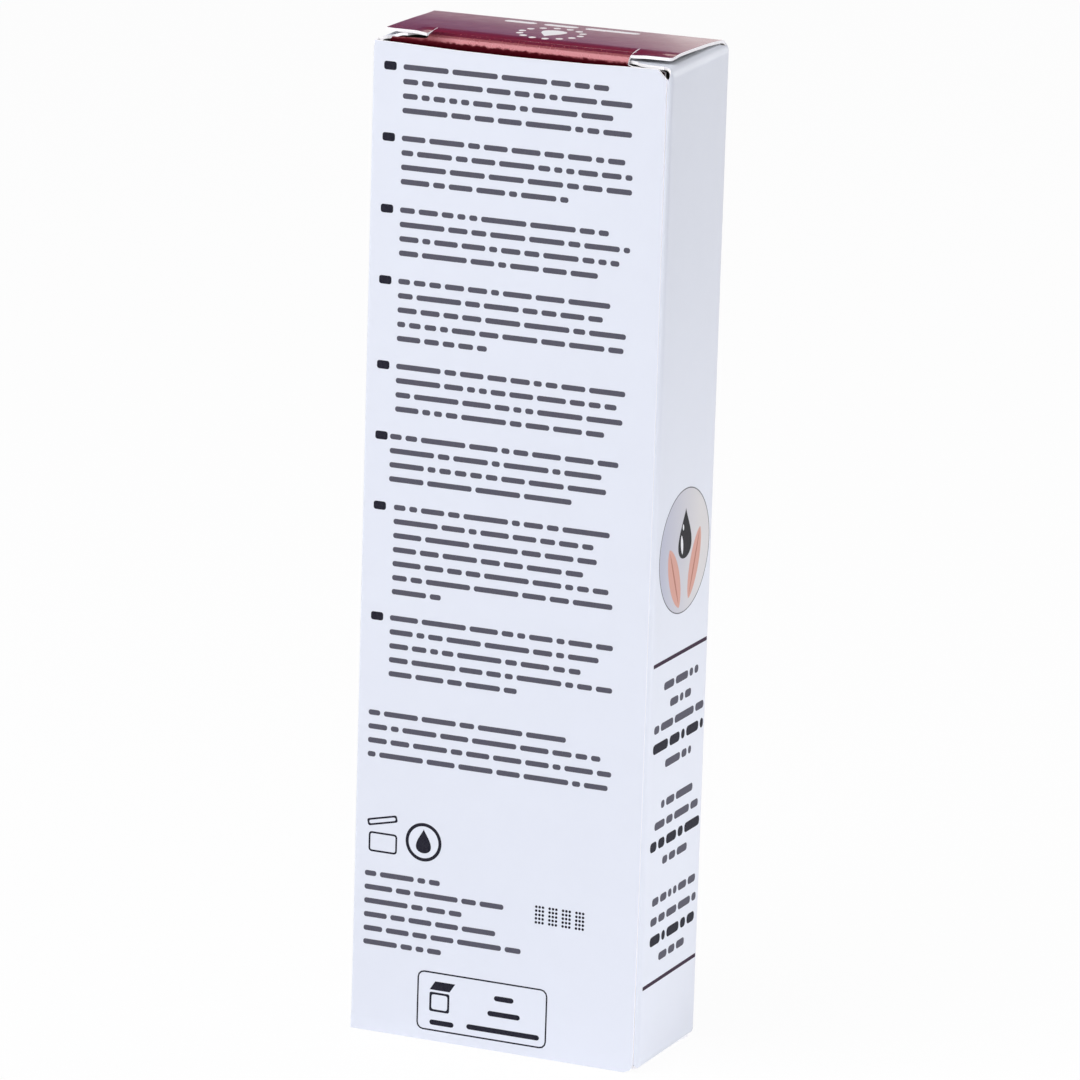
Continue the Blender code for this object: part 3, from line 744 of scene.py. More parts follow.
class CARTON_OT_closures(bpy.types.Operator):
    """Fold the lid and the bottom panel with their tucks"""

    bl_idname = "carton.closures"
    bl_label = "Fold the closures"

    def execute(self, context):
        board = context.scene.carton_board
        for name, sign, face in ENDS:
            outer = ("film", "roll") if sign > 0 else ("coat", "coat")
            slot = "board_burgundy" if sign > 0 else "board_white"
            for make, coat in zip((self.panel, self.tuck), outer):
                make(name, sign, face, board, board_coats(context, coat, "back", "core"), slot)
        return {"FINISHED"}

    def panel(self, name, sign, face, board, coats, slot):
        """The flat panel with its lugs, from the crease at the back to the roll at the front."""
        back = HALF_DEPTH - board.roll
        lug, tongue, slit_end = back - LID_LOW.y, back - TONGUE_END, back + 4.9 * MM
        half, slit = LID_HIGH.x, LID_HIGH.x - LUG_WIDTH
        corner = 0.6 * MM
        side = [(0, half + 0.5 * MM), (1.2 * MM, half + 0.3 * MM), (4 * MM, half + 0.1 * MM)]
        side += arc_points((lug - corner, half - corner), corner, 90, 0)
        side += [(lug, slit + SLIT_GAP), (slit_end, slit + SLIT_GAP)]
        side += [(slit_end, slit - SLIT_GAP), (tongue, slit - SLIT_GAP)]
        wider = 0.25 * MM if sign > 0 else 0
        outline = side + [(u, -v - wider * (v > half - corner)) for u, v in side[::-1]]

        def droop(u, v):
            """Lets the lugs droop a little at their front, and the tongue curve towards its roll."""
            forward = (u - slit_end) / (tongue - slit_end)
            crown = lid_crown(sign, back - u)
            if abs(v) < slit:
                return crown + (TONGUE_DROP - lid_crown(sign, back - tongue)) * max(forward, 0) ** 2
            if v > 0:
                curl = 0.2 + 0.15 * smooth((slit + 3 * MM - v) / (3 * MM))
                return crown + curl * MM * smooth((u - slit_end) / (lug - slit_end))
            return crown + 0.22 * MM * smooth((slit + 1.8 * MM + v) / (1.8 * MM)) * smooth(forward)

        cuts = [CREASE_GAP * i / 8 for i in range(1, 9)] + [1.2 * MM * i for i in range(1, 11)]
        cuts += [slit_end + (lug - slit_end) * i / 6 for i in range(-2, 6)]
        across = [side * (slit + 4 * MM * i / 5) for side in (-1, 1) for i in range(-1, 6) if i]
        item = board_piece(
            board,
            f"{name}_top_sheet",
            outline,
            (cuts, across),
            lambda u, v, depth: Vector((v, back - u, face(depth + droop(u, v)))),
            coats,
            lambda u, v: u < FINE or u > tongue - FINE,
        )
        start, end = (0, back, face(0)), (0, back - CREASE_GAP, face(0))
        hinge(item, f"{name}_panel", slot, start, end)

    def tuck(self, name, sign, face, board, coats, slot):
        """The roll over the front crease and the tuck below it."""
        roll = board.tuck_roll
        straight = TONGUE_END - (TUCK_LOW.y + roll)
        slope = math.radians(TONGUE_SLOPE)
        level = (TONGUE_END - TUCK_LOW.y - roll * (1 - math.sin(slope))) / math.cos(slope)
        fall = TONGUE_DROP + level * math.sin(slope) + roll * math.cos(slope)
        moves = [("go", level), ("turn", roll, 90 - TONGUE_SLOPE), ("go", TOP - TUCK_LOW.z - fall)]
        path = trace((TONGUE_END, -TONGUE_DROP), math.pi + slope, moves)
        places, end = marks(path, 10)
        bent = level + path[1][0]
        half, slit = TUCK_HIGH.x, LID_HIGH.x - LUG_WIDTH - SLIT_GAP
        corner = 5 * MM
        left, right = (bent - 0.9 * MM, bent + 0.1 * MM) if sign > 0 else (bent, bent)
        shoulder = bent + 0.8 * (left - bent)
        outline = [(0, -slit), (left - 0.1 * MM, -slit), (left, -slit - 0.5 * MM)]
        outline += [(shoulder, -half + 0.3 * MM), (shoulder + 0.4 * MM, -half)]
        outline += arc_points((end - corner, corner - half), corner, -90, 0)
        outline += arc_points((end - corner, half - corner), corner, 0, 90)
        outline += [(right + 0.4 * MM, half), (right, half - 1 * MM)]
        outline += [(bent + 0.1 * MM, slit + 0.6 * MM), (bent - 0.1 * MM, slit), (0, slit)]

        def bend(u, v, depth):
            point, out = along(path, u)
            point = point - out * depth
            return Vector((v, point.x, face(-point.y)))

        places += [straight * i / 6 for i in range(1, 6)]
        sheet = f"{name}_tuck_sheet"
        item = board_piece(board, sheet, outline, (places, ()), bend, coats, lambda u, v: u < FINE)
        start, end = (0, TONGUE_END, face(0)), (0, TONGUE_END - straight, face(0))
        hinge(item, f"{name}_tuck", slot, start, end)


# Front edges of the dust flaps, in millimetres from the crease and from the carton's middle
FLAP_FRONTS = {
    ("lid", 1): [(0, -10.04), (0.7, -10), (2.6, -9.85), (4.2, -9.2), (4.8, -8.4)],
    ("lid", -1): [(0, -9), (0.5, -8.8), (0.9, -8.3), (2.8, -8.25), (3.3, -6.6)],
    ("bottom", 1): [(0, -10.1), (0.9, -10.05), (2.2, -9.9), (2.6, -8.2), (5, -8.05)],
    ("bottom", -1): [(0, -9.6), (0.5, -9.4), (0.9, -8.2), (5, -8.05)],
}


class CARTON_OT_dust_flaps(bpy.types.Operator):
    """Fold the four dust flaps"""

    bl_idname = "carton.dust_flaps"
    bl_label = "Fold the dust flaps"

    def execute(self, context):
        board = context.scene.carton_board
        coats = board_coats(context, "coat", "back", "core")
        for end in ENDS:
            for side, word in ((-1, "left"), (1, "right")):
                self.flap(board, coats, end, side, word)
        return {"FINISHED"}

    def flap(self, board, coats, end, side, word):
        """One flap, from its roll to its tapered tip. The lid's left one springs up at its front edge."""
        name, sign, face = end
        back, front = HALF_DEPTH - 1.75 * MM, FLAP_LOW.y
        root = HALF_WIDTH - (board.side_roll if sign > 0 else board.foot_roll)
        tip = root - FLAP_LOW.x
        taper = (tip - 0.5 * MM) * 0.55
        spring = 0.6 * MM if sign > 0 > side else 0
        outline = [(u * MM, v * MM) for u, v in FLAP_FRONTS[name, side]]
        outline += [(tip - 1.2 * MM, front + 2.3 * MM), (tip - 0.3 * MM, front + 3 * MM)]
        outline += [(tip, front + 3.8 * MM), (tip, back - taper - 0.8 * MM)]
        outline += [(tip - 0.6 * MM, back - taper), (0.8 * MM, back), (0, back)]

        def bend(u, v, depth):
            drop = flap_drop(sign, side, v) + depth - spring * rising_edge(v) * smooth(u / (2.4 * MM))
            return Vector((side * (root - u), v, face(drop)))

        cuts = [0.5 * MM * i / 8 for i in range(1, 9)] + [(0.5 + 0.4 * i) * MM for i in range(1, 6)]
        across = [(2 * i - 8) * MM for i in range(8)]
        sheet, node = f"{name}_{word}_dust_sheet", f"{name}_dust_flap_{word}"
        item = board_piece(board, sheet, outline, (cuts, across), bend, coats, lambda u, v: u < FINE)
        start, end = ((side * x, 0, face(flap_drop(sign, side, 0))) for x in (root, root - 0.45 * MM))
        hinge(item, node, "board_white", start, end)


def wear(node, material):
    """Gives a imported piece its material."""
    node.data.materials.clear()
    node.data.materials.append(material)


class CARTON_OT_cradle(bpy.types.Operator):
    """Finish the cradle that holds the pen upright"""

    bl_idname = "carton.cradle"
    bl_label = "Finish the cradle"

    def execute(self, context):
        wear(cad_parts["pen_cradle"], *board_coats(context, "back"))
        return {"FINISHED"}


# Print, drawn in millimetres on each face


def round_bar(low, high, middle, height, radius=None):
    """The outline of a bar with round ends, or with round corners of a given radius."""
    radius = height / 2 if radius is None else radius
    left, right = low + radius, high - radius
    base, top = middle - height / 2 + radius, middle + height / 2 - radius
    outline = []
    for quarter, corner in enumerate(((right, top), (left, top), (left, base), (right, base))):
        outline += arc_points(corner, radius, 90 * quarter, 90 * quarter + 90, 3)
    return outline


def ring(centre, radius, width, count=64):
    """A round line as its outer and inner outline."""
    return [circle(centre, radius, count), circle(centre, radius - width, count)]


def moved(points, centre, angle=0):
    """Points turned by an angle in degrees and moved from the origin to a centre."""
    c, s = math.cos(math.radians(angle)), math.sin(math.radians(angle))
    return [(centre[0] + c * u - s * v, centre[1] + s * u + c * v) for u, v in points]


def droplet(centre, width, height, angle=0):
    """The outline of a drop, point upwards before it is turned."""
    turns = [math.tau * step / 40 for step in range(40)]
    half_widths = [0.72 * width * math.sin(turn) * math.sin(turn / 2) ** 1.6 for turn in turns]
    points = [(half, height / 2 * math.cos(turn)) for half, turn in zip(half_widths, turns)]
    return moved(points, centre, angle)


def stroke_box(low, high, base, top, width, radius):
    """A rounded box drawn with a line."""
    middle, inner = (base + top) / 2, max(radius - width, width)
    return [
        round_bar(low, high, middle, top - base, radius),
        round_bar(low + width, high - width, middle, top - base - 2 * width, inner),
    ]


# Lengths of the bars that stand for words, and the space between them. A bar that would leave less than
# LINE_REST of its line takes that up too, and none starts in less than LEAST_ROOM.
WORD_LENGTHS = (1.3, 1.9, 2.4, 3.1, 3.8, 4.6, 5.6, 7.2)
WORD_SPACE = 0.6
LINE_REST = 1.6
LEAST_ROOM = 0.4


def words(draw, low, high, middle, height):
    """Bars like a line of small print, from low to high."""
    bars, reached = [], low
    while reached < high - LEAST_ROOM:
        end = reached + draw.choice(WORD_LENGTHS)
        if end > high - LINE_REST:
            end = high
        bars.append([round_bar(reached, end, middle, height, 0.42 * height)])
        reached = end + WORD_SPACE
    return bars


def print_piece(name, shapes, place, material, body="carton", thickness=0.012, sink=0.004):
    """Flat ink shapes, each a list of an outline and its holes, set on a face by place(u, v, height)."""
    bm = bmesh.new()
    for shape in shapes:
        close_sheet(
            bm, cut_sheet(shape), lambda u, v, height: place(u * MM, v * MM, height * MM), (thickness, -sink)
        )
    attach(finish_mesh(name, bm, [material]), body)


# Each block of small print on the front: height of its first line, ends of its lines, start of its lines
PRINT_BLOCKS = (
    (146.5, (13.9, 17.6, 14.7, 17.7), -18.6),
    (136.0, (16.8, 18.0, 18.0, 8.1), -18.6),
    (125.4, (14.6, 18.0, 16.4, 13.1), -18.6),
    (114.8, (15.2, 14.1, 17.8, 17.5, -4.1), -18.6),
    (102.1, (18.0, 16.7, 17.7, 14.9), -18.6),
    (91.5, (17.3, 14.7, 15.5, 10.1), -19.3),
    (80.9, (16.3, 13.8, 14.4, 12.3, 16.4, 17.1, -10.4), -18.4),
    (64.1, (17.4, 15.2, 12.4, 17.5, 2.3), -18.6),
    (49.3, (10.4, 16.0, 17.8, 17.3), -21.7),
    (24.5, (-9.3, 1.2, -5.6, 0.0, 4.2, -8.8), -21.7),
)
LABEL_START, LABEL_END = -21.7, -19.7
LINE_STEP = 2.13
SMALL_BAR = 0.8


class CARTON_OT_front_print(bpy.types.Operator):
    """Lay out the small print and the marks on the front panel, as plain bars"""

    bl_idname = "carton.front_print"
    bl_label = "Print the front panel"

    def execute(self, context):
        colours = context.scene.carton_colours
        board = context.scene.carton_board
        draw = random.Random(11)

        def place(u, v, height):
            return lean(Vector((u, -HALF_DEPTH + LIFT - height, v)), board)

        lines, labels = [], []
        for top, line_ends, start in PRINT_BLOCKS:
            if start > LABEL_START:
                labels.append([round_bar(LABEL_START, LABEL_END, top, 1.25, 0.35)])
            for row, end in enumerate(line_ends):
                lines += words(draw, start, end, top - row * LINE_STEP, SMALL_BAR)
        grey = offset_ink("grey_offset_ink", colours.ink)
        dark = offset_ink("black_offset_ink", colours.bold_ink)
        print_piece("front_small_print", lines, place, grey)
        print_piece("front_bold_words", labels, place, dark)
        print_piece("front_marks", self.marks(), place, dark)
        return {"FINISHED"}

    def marks(self):
        """The jar, the round mark, the row of dots and the boxed mark."""
        jar = stroke_box(-21.2, -16.5, 27.9, 31.0, 0.28, 0.5)
        jar_lid = stroke_box(-2.5, 2.5, -0.55, 0.55, 0.28, 0.3)
        centre = (-12.15, 30.5)
        shapes = [jar, [moved(outline, (-19.0, 32.9), 13) for outline in jar_lid]]
        shapes += [ring(centre, 2.95, 0.5), [droplet((centre[0], centre[1] + 0.15), 2.5, 3.7)]]
        dot, across, up = 0.42, 0.54, 0.6
        for column in range(15):
            for row in range(5):
                u, v = 6.3 + column * across, 20.9 + row * up
                if column % 4 != 3:
                    shapes.append([round_bar(u, u + dot, v, dot)])
        shapes.append(stroke_box(-12.55, 8.75, 1.55, 10.75, 0.24, 1.1))
        shapes.append(stroke_box(-10.5, -7.2, 4.6, 7.6, 0.34, 0.3))
        shapes.append([[(-10.5, 7.95), (-9.6, 9.3), (-6.3, 9.3), (-7.2, 7.95)]])
        for low, high, middle in ((-10.4, -6.4, 2.9), (0.1, 3.3, 8.15), (-0.9, 4.4, 5.7), (-4.3, 7.6, 3.1)):
            shapes.append([round_bar(low, high, middle, SMALL_BAR)])
        return shapes


# Lines of print on the seam-side wall: height, start and end
SIDE_LINES = (
    (58.0, 5.1, 18.0),
    (55.0, 7.6, 15.5),
    (52.0, 1.9, 20.5),
    (46.0, 6.5, 16.3),
    (40.0, 5.5, 17.4),
    (37.05, 3.3, 19.7),
    (31.15, 6.7, 16.0),
    (25.4, 3.4, 19.7),
    (22.4, 3.0, 20.2),
    (16.4, 6.5, 16.2),
)
BOLD_SIDE_LINES = ((49.1, 1.7, 20.6), (34.1, 1.9, 20.5), (19.4, 3.0, 19.8))
RULE_HEIGHTS = (61.9, 12.9)


class CARTON_OT_side_print(bpy.types.Operator):
    """Lay out the rules, the word bars and the round picture on the seam-side wall"""

    bl_idname = "carton.side_print"
    bl_label = "Print the side wall"

    def execute(self, context):
        colours = context.scene.carton_colours
        draw = random.Random(5)

        def place(u, v, height):
            return Vector((HALF_WIDTH - LIFT + height, u - HALF_DEPTH, v))

        grey = offset_ink("grey_offset_ink_side", colours.ink)
        dark = offset_ink("black_offset_ink_side", colours.bold_ink)
        rule = offset_ink("burgundy_offset_ink", colours.rule_ink, 0.35)
        light, bold = (
            [bar for middle, low, high in lines for bar in words(draw, low, high, middle, height)]
            for lines, height in ((SIDE_LINES, 1.2), (BOLD_SIDE_LINES, 1.5))
        )
        rules = [[round_bar(0.9, 20.9, middle, 0.6, 0.1)] for middle in RULE_HEIGHTS]
        print_piece("side_small_print", light, place, grey)
        print_piece("side_bold_words", bold, place, dark)
        print_piece("side_rules", rules, place, rule)
        self.picture(place)
        return {"FINISHED"}

    def picture(self, place):
        """A round picture of two leaves and a drop, in pale grey, pink and black."""
        centre = (11.0, 77.35)
        radius = 9.4

        def leaf(u, v, size, width, angle):
            turns = [math.tau * step / 32 for step in range(32)]
            points = [(width * math.sin(t) * abs(math.sin(t)) ** 0.4, size * math.cos(t)) for t in turns]
            return moved(points, (centre[0] + u, centre[1] + v), angle)

        leaves = [[leaf(-3.5, -3.6, 5.2, 1.9, 24)], [leaf(3.9, -2.6, 5.4, 1.7, -20)]]
        veins = [[leaf(-3.5, -3.6, 4.6, 0.2, 24)], [leaf(3.9, -2.6, 4.8, 0.2, -20)]]
        drop = [[droplet((centre[0] + 0.1, centre[1] + 2.6), 5.0, 7.6)]]
        glint = [[leaf(-1.0, 1.0, 1.5, 0.42, 10)], [leaf(-0.7, 3.6, 0.5, 0.24, 10)]]
        disc = [[circle(centre, radius - 0.05, 72)]]
        print_piece("side_picture_ground", disc, place, picture_ground(), thickness=0.008)
        for name, shapes, thickness, ink, tone, roughness in (
            ("line", [ring(centre, radius, 0.16, 72)], 0.012, "grey_line_ink", "6B6B72", 0.5),
            ("leaves", leaves, 0.011, "pink_halftone_ink", "D9A79B", 0.5),
            ("veins", veins, 0.013, "deep_pink_halftone_ink", "B97F74", 0.5),
            ("drop", drop, 0.013, "black_halftone_ink", "15131A", 0.3),
            ("glint", glint, 0.015, "paper_white_highlight", "F1F1F6", 0.3),
        ):
            material = offset_ink(ink, linear(tone), roughness)
            print_piece(f"side_picture_{name}", shapes, place, material, thickness=thickness)


def dotted_drop(scale, centre, angle=0):
    """The carton's plain mark: a drop in a ring of dots."""
    dots = circle(centre, 4.6 * scale, 14)
    shapes = [[circle(spot, 0.55 * scale, 24)] for spot in dots]
    return [*shapes, [droplet(centre, 3.8 * scale, 5.4 * scale, angle)]]


class CARTON_OT_back_print(bpy.types.Operator):
    """Print the back wall with the plain mark, word bars and a rule, as a guess"""

    bl_idname = "carton.back_print"
    bl_label = "Print the back wall"

    def execute(self, context):
        colours = context.scene.carton_colours
        draw = random.Random(3)

        def place(u, v, height):
            return Vector((-u, HALF_DEPTH - LIFT + height, v))

        grey = offset_ink("grey_offset_ink_back", colours.ink)
        burgundy = offset_ink("burgundy_offset_ink_back", shade(colours.film, 0.6), 0.35)
        shapes = dotted_drop(1.7, (0, 118))
        bars = ((-13, -1, 99, 2.6), (1, 13, 99, 2.6), (-16, 16, 60, 0.5), (-16, 16, 24, 0.5))
        shapes += [[round_bar(*bar, 0.2)] for bar in bars]
        lines = []
        for top, step, height, reaches in (
            (91, 3.4, 1.2, (12.5, 15, 9)),
            (54, 3.6, 1.0, (15.5, 14, 15.5, 12, 15, 13.5, 8)),
            (17, 0, 1.6, (6,)),
        ):
            for row, reach in enumerate(reaches):
                lines += words(draw, -reach, reach, top - row * step, height)
        print_piece("back_mark", shapes, place, burgundy)
        print_piece("back_small_print", lines, place, grey)
        return {"FINISHED"}


class CARTON_OT_lid_print(bpy.types.Operator):
    """Print the plain mark and bars in white on the lid"""

    bl_idname = "carton.lid_print"
    bl_label = "Print the lid"

    def execute(self, context):
        def place(u, v, height):
            return Vector((u, v, TOP - LIFT - lid_crown(1, v) + height))

        shapes = dotted_drop(1, (0, -0.2), 180)
        bars = ((-10.5, -5.4), (-4.2, 1.2), (2.4, 11.0))
        shapes += [[round_bar(low, high, 6.8, 1.5)] for low, high in bars]
        white = offset_ink("white_screen_ink", linear("F2F0F3"))
        print_piece("lid_mark", shapes, place, white, "lid", 0.02, 0.02)
        return {"FINISHED"}


# Pen, drawn in millimetres from its axis and above its end


def turned_piece(name, profile, material, angle=30):
    """A closed profile of radii and heights, turned about the pen's axis."""
    bm = bmesh.new()
    corners = [bm.verts.new((radius * MM, 0, height * MM)) for radius, height in profile]
    for first, second in zip(corners, corners[1:] + corners[:1]):
        if first.co.x > 0 or second.co.x > 0:
            bm.edges.new((first, second))
    bmesh.ops.spin(
        bm,
        geom=bm.verts[:] + bm.edges[:],
        cent=(0, 0, 0),
        axis=(0, 0, 1),
        angle=math.tau,
        steps=96,
        use_duplicate=False,
    )
    bmesh.ops.remove_doubles(bm, verts=bm.verts, dist=0.001 * MM)
    bmesh.ops.translate(bm, verts=bm.verts, vec=(0, PEN_Y, PEN_BASE))
    return finish_mesh(name, bm, [material], angle)


def rounded(points, radii, steps=5):
    """A profile with a fillet of the given radius at each corner that has one."""
    result = []
    for index, point in enumerate(points):
        radius = radii.get(index, 0)
        here = Vector(point)
        if not radius:
            result.append(tuple(here))
            continue
        before = (Vector(points[index - 1]) - here).normalized()
        after = (Vector(points[(index + 1) % len(points)]) - here).normalized()
        half = before.angle(after) / 2
        reach = radius / math.tan(half)
        centre = here + (before + after).normalized() * (radius / math.sin(half))
        first, last = here + before * reach - centre, here + after * reach - centre
        for step in range(steps + 1):
            angle = first.angle_signed(last) * step / steps
            c, s = math.cos(angle), math.sin(angle)
            result.append(tuple(centre + Vector((c * first.x + s * first.y, c * first.y - s * first.x))))
    return result


def node_reach(node):
    """Lowest and highest height of a packed pen piece, in millimetres above the pen's end."""
    low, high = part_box(node)
    return (low.z - PEN_BASE) / MM, (high.z - PEN_BASE) / MM


class PEN_OT_shells(bpy.types.Operator):
    """Turn the shells of the pen: knob, barrel, collar and cap"""

    bl_idname = "pen.shells"
    bl_label = "Turn the shells"

    def execute(self, context):
        pen = context.scene.pen_settings
        radius = pen.radius / MM
        shell = (anodised_shell(pen.shell), "shell_aluminium")
        metal = (bright_metal(pen.metal), "collar_metal")
        self.put("barrel_tube", self.barrel(radius), shell, "barrel_shell", "pen")
        self.put("knob_tube", self.knob(radius), shell, "knob_shell", "knob")
        self.put("cap_tube", self.cap(radius, pen.round / MM), shell, "cap_shell", "cap")
        self.put("collar_ring", self.collar(radius), metal, "shoulder_collar", "pen")
        self.put("end_disc", self.plug(radius), metal, "knob_end_plug", "knob")
        return {"FINISHED"}

    def put(self, name, profile, finish, node, body):
        material, slot = finish
        stand_for(turned_piece(name, profile, material), node, slot, body)

    def barrel(self, radius):
        low, high = node_reach("barrel_shell")
        bore = radius - 0.6
        return rounded([(bore, low), (radius, low), (radius, high), (bore, high)], {1: 0.2, 2: 0.2})

    def knob(self, radius):
        """The twist knob, with grip grooves round it."""
        low, high = node_reach("knob_shell")
        bore = radius - 0.9
        first, pitch, depth, ramp = low + 3, 1.1, 0.22, 0.2
        profile = [(bore, low), (radius, low)]
        for groove in range(6):
            height = first + groove * pitch
            profile += [(radius, height), (radius - depth, height + ramp)]
            profile += [(radius - depth, height + 2 * ramp), (radius, height + 3 * ramp)]
        profile += [(radius, high), (bore, high)]
        return rounded(profile, {1: 0.4, len(profile) - 2: 0.2})

    def cap(self, radius, fillet):
        low, high = node_reach("cap_shell")
        bore, ceiling = radius - 0.6, high - 1.2
        profile = [(bore, low), (radius, low), (radius, high), (0, high), (0, ceiling), (bore, ceiling)]
        return rounded(profile, {1: 0.2, 2: fillet, 5: 0.5}, 8)

    def collar(self, radius):
        """The collar between barrel and cap, with two beads on its neck that the cap grips."""
        low, high = node_reach("shoulder_collar")
        gap = 0.3
        ring_low, ring_high = node_reach("barrel_shell")[1] + gap, node_reach("cap_shell")[0] - gap
        hole, inner, neck, bead = 1.6, radius - 0.9, 4.0, 0.18
        profile = [(hole, low), (inner, low), (inner, ring_low), (radius, ring_low), (radius, ring_high)]
        profile += [(neck, ring_high)]
        for above in (2.0, 5.2):
            height = ring_high + above
            profile += [(neck, height), (neck + bead, height + 0.3), (neck, height + 0.6)]
        profile += [(neck, high), (hole, high)]
        return rounded(profile, {3: 0.25, 4: 0.25, len(profile) - 2: 0.3})

    def plug(self, radius):
        """The disc in the knob's end, dished in the middle."""
        low, high = node_reach("knob_end_plug")
        rim = radius - 1.2
        dish = [(0, low + 0.35), (rim - 1.4, low + 0.3), (rim - 0.9, low)]
        return rounded([*dish, (rim, low), (rim, high), (0, high)], {3: 0.15})


class PEN_OT_works(bpy.types.Operator):
    """Finish the works inside the pen"""

    bl_idname = "pen.works"
    bl_label = "Finish the works"

    def execute(self, context):
        white = moulded_plastic("moulded_acetal", "EDEDE9", 0.45)
        clear = moulded_plastic("moulded_natural_polypropylene", "DFE6E8", 0.25, 0.6)
        seal = moulded_plastic("moulded_soft_polyethylene", "B9C6CF", 0.55)
        for material, nodes in (
            (white, ("ratchet_ring", "rod_guide", "drive_nut", "piston_rod", "cap_liner")),
            (clear, ("reservoir_tube", "feed_tube")),
            (seal, ("piston",)),
        ):
            for node in nodes:
                wear(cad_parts[node], material)
        return {"FINISHED"}


# The bristles: how many, how many lengths and sides each is drawn with, its radius, how much it thins,
# and how much shorter the outermost are
HAIRS = 90
HAIR_STEPS = 6
HAIR_SIDES = 5
HAIR_RADIUS = 0.09
HAIR_THINNING = 0.6
HAIR_SHORTER = 0.09

# Radius of the whole tuft in its ferrule, what its belly adds, what it loses to its tip, and its least
TUFT_RADIUS = 1.15
TUFT_BELLY = 0.72
TUFT_TAPER = 0.95
TUFT_POINT = 0.18


class PEN_OT_brush(bpy.types.Operator):
    """Turn the ferrule and set the bristles in it"""

    bl_idname = "pen.brush"
    bl_label = "Make the brush"

    def execute(self, context):
        black = moulded_plastic("moulded_black_abs", "1D1B1E", 0.4)
        low, high = node_reach("brush_ferrule")
        hole, tip, shoulder, foot = 1.6, 2.3, 3.3, 3.6
        profile = [(hole, low), (foot, low), (foot, low + 2), (shoulder, low + 2.5)]
        profile += [(tip, high), (hole, high)]
        ferrule = turned_piece("ferrule_cone", rounded(profile, {1: 0.2, 4: 0.25}), black)
        stand_for(ferrule, "brush_ferrule", "black_plastic", "pen")
        stand_for(self.bristles(high), "brush_tuft", "bristle", "pen")
        return {"FINISHED"}

    def bristles(self, root):
        """Hairs spread evenly round the axis by the golden angle, with a belly above the ferrule."""
        low, tip = node_reach("brush_tuft")
        golden = math.pi * (3 - math.sqrt(5))
        bm = bmesh.new()
        for hair in range(HAIRS):
            share = math.sqrt((hair + 0.5) / HAIRS)
            angle = hair * golden
            rings = []
            for step in range(HAIR_STEPS + 1):
                done = step / HAIR_STEPS
                height = low + (tip - low) * done * (1 - HAIR_SHORTER * share * share)
                rise = max((height - root) / (tip - root), 0)
                belly = TUFT_BELLY * math.sin(math.pi * min(rise * 1.15, 1))
                reach = max(TUFT_RADIUS + belly - TUFT_TAPER * rise, TUFT_POINT) * share
                centre = (reach * math.cos(angle), reach * math.sin(angle))
                points = circle(centre, HAIR_RADIUS * (1 - HAIR_THINNING * done), HAIR_SIDES)
                rings.append([bm.verts.new((x * MM, y * MM, height * MM)) for x, y in points])
            for lower, upper in zip(rings, rings[1:]):
                for i in range(HAIR_SIDES):
                    j = (i + 1) % HAIR_SIDES
                    bm.faces.new((lower[i], lower[j], upper[j], upper[i]))
            bm.faces.new(rings[0][::-1])
            bm.faces.new(rings[-1])
        bmesh.ops.translate(bm, verts=bm.verts, vec=(0, PEN_Y, PEN_BASE))
        return finish_mesh("bristles", bm, [nylon_hair()], 60)


# Stage

# Each lamp's place, the place it points at and the side of its square, in metres
LAMPS = {
    "key": ((-0.42, -0.55, 0.95), (0, 0, 0.12), 1.0),
    "front": ((0.45, -1.25, 0.3), (0, 0, 0.08), 0.7),
    "side": ((0.155, -0.01, 0.035), (0, 0, 0.01), 0.05),
    "back": ((0.7, 1.2, 0.35), (0, 0, 0.08), 0.7),
}

# The camera's place in metres, its turns in degrees, and its sensor and lens in millimetres
CAMERA_PLACE = (0.40571, -0.92833, 0.32231)
CAMERA_TURNS = (76.32863, -1.71749, 23.99369)
SENSOR = 36
LENS = 235.41

# The card that the lid mirrors: its sides, its foot and top and how far behind it stands, in metres. Its
# painted light and shade, pale low down and dark above, blend between levels of z less CARD_SLOPE times x.
CARD_SIDES = (-2.9, -0.81)
CARD_HEIGHTS = (0.12, 2.9)
CARD_BEHIND = 2.0
CARD_SLOPE = 0.7
CARD_LEVELS = (1.09, 1.16, 1.31)
CARD_SHADES = ("FCF4FF", "A99CD2", "5C5080")


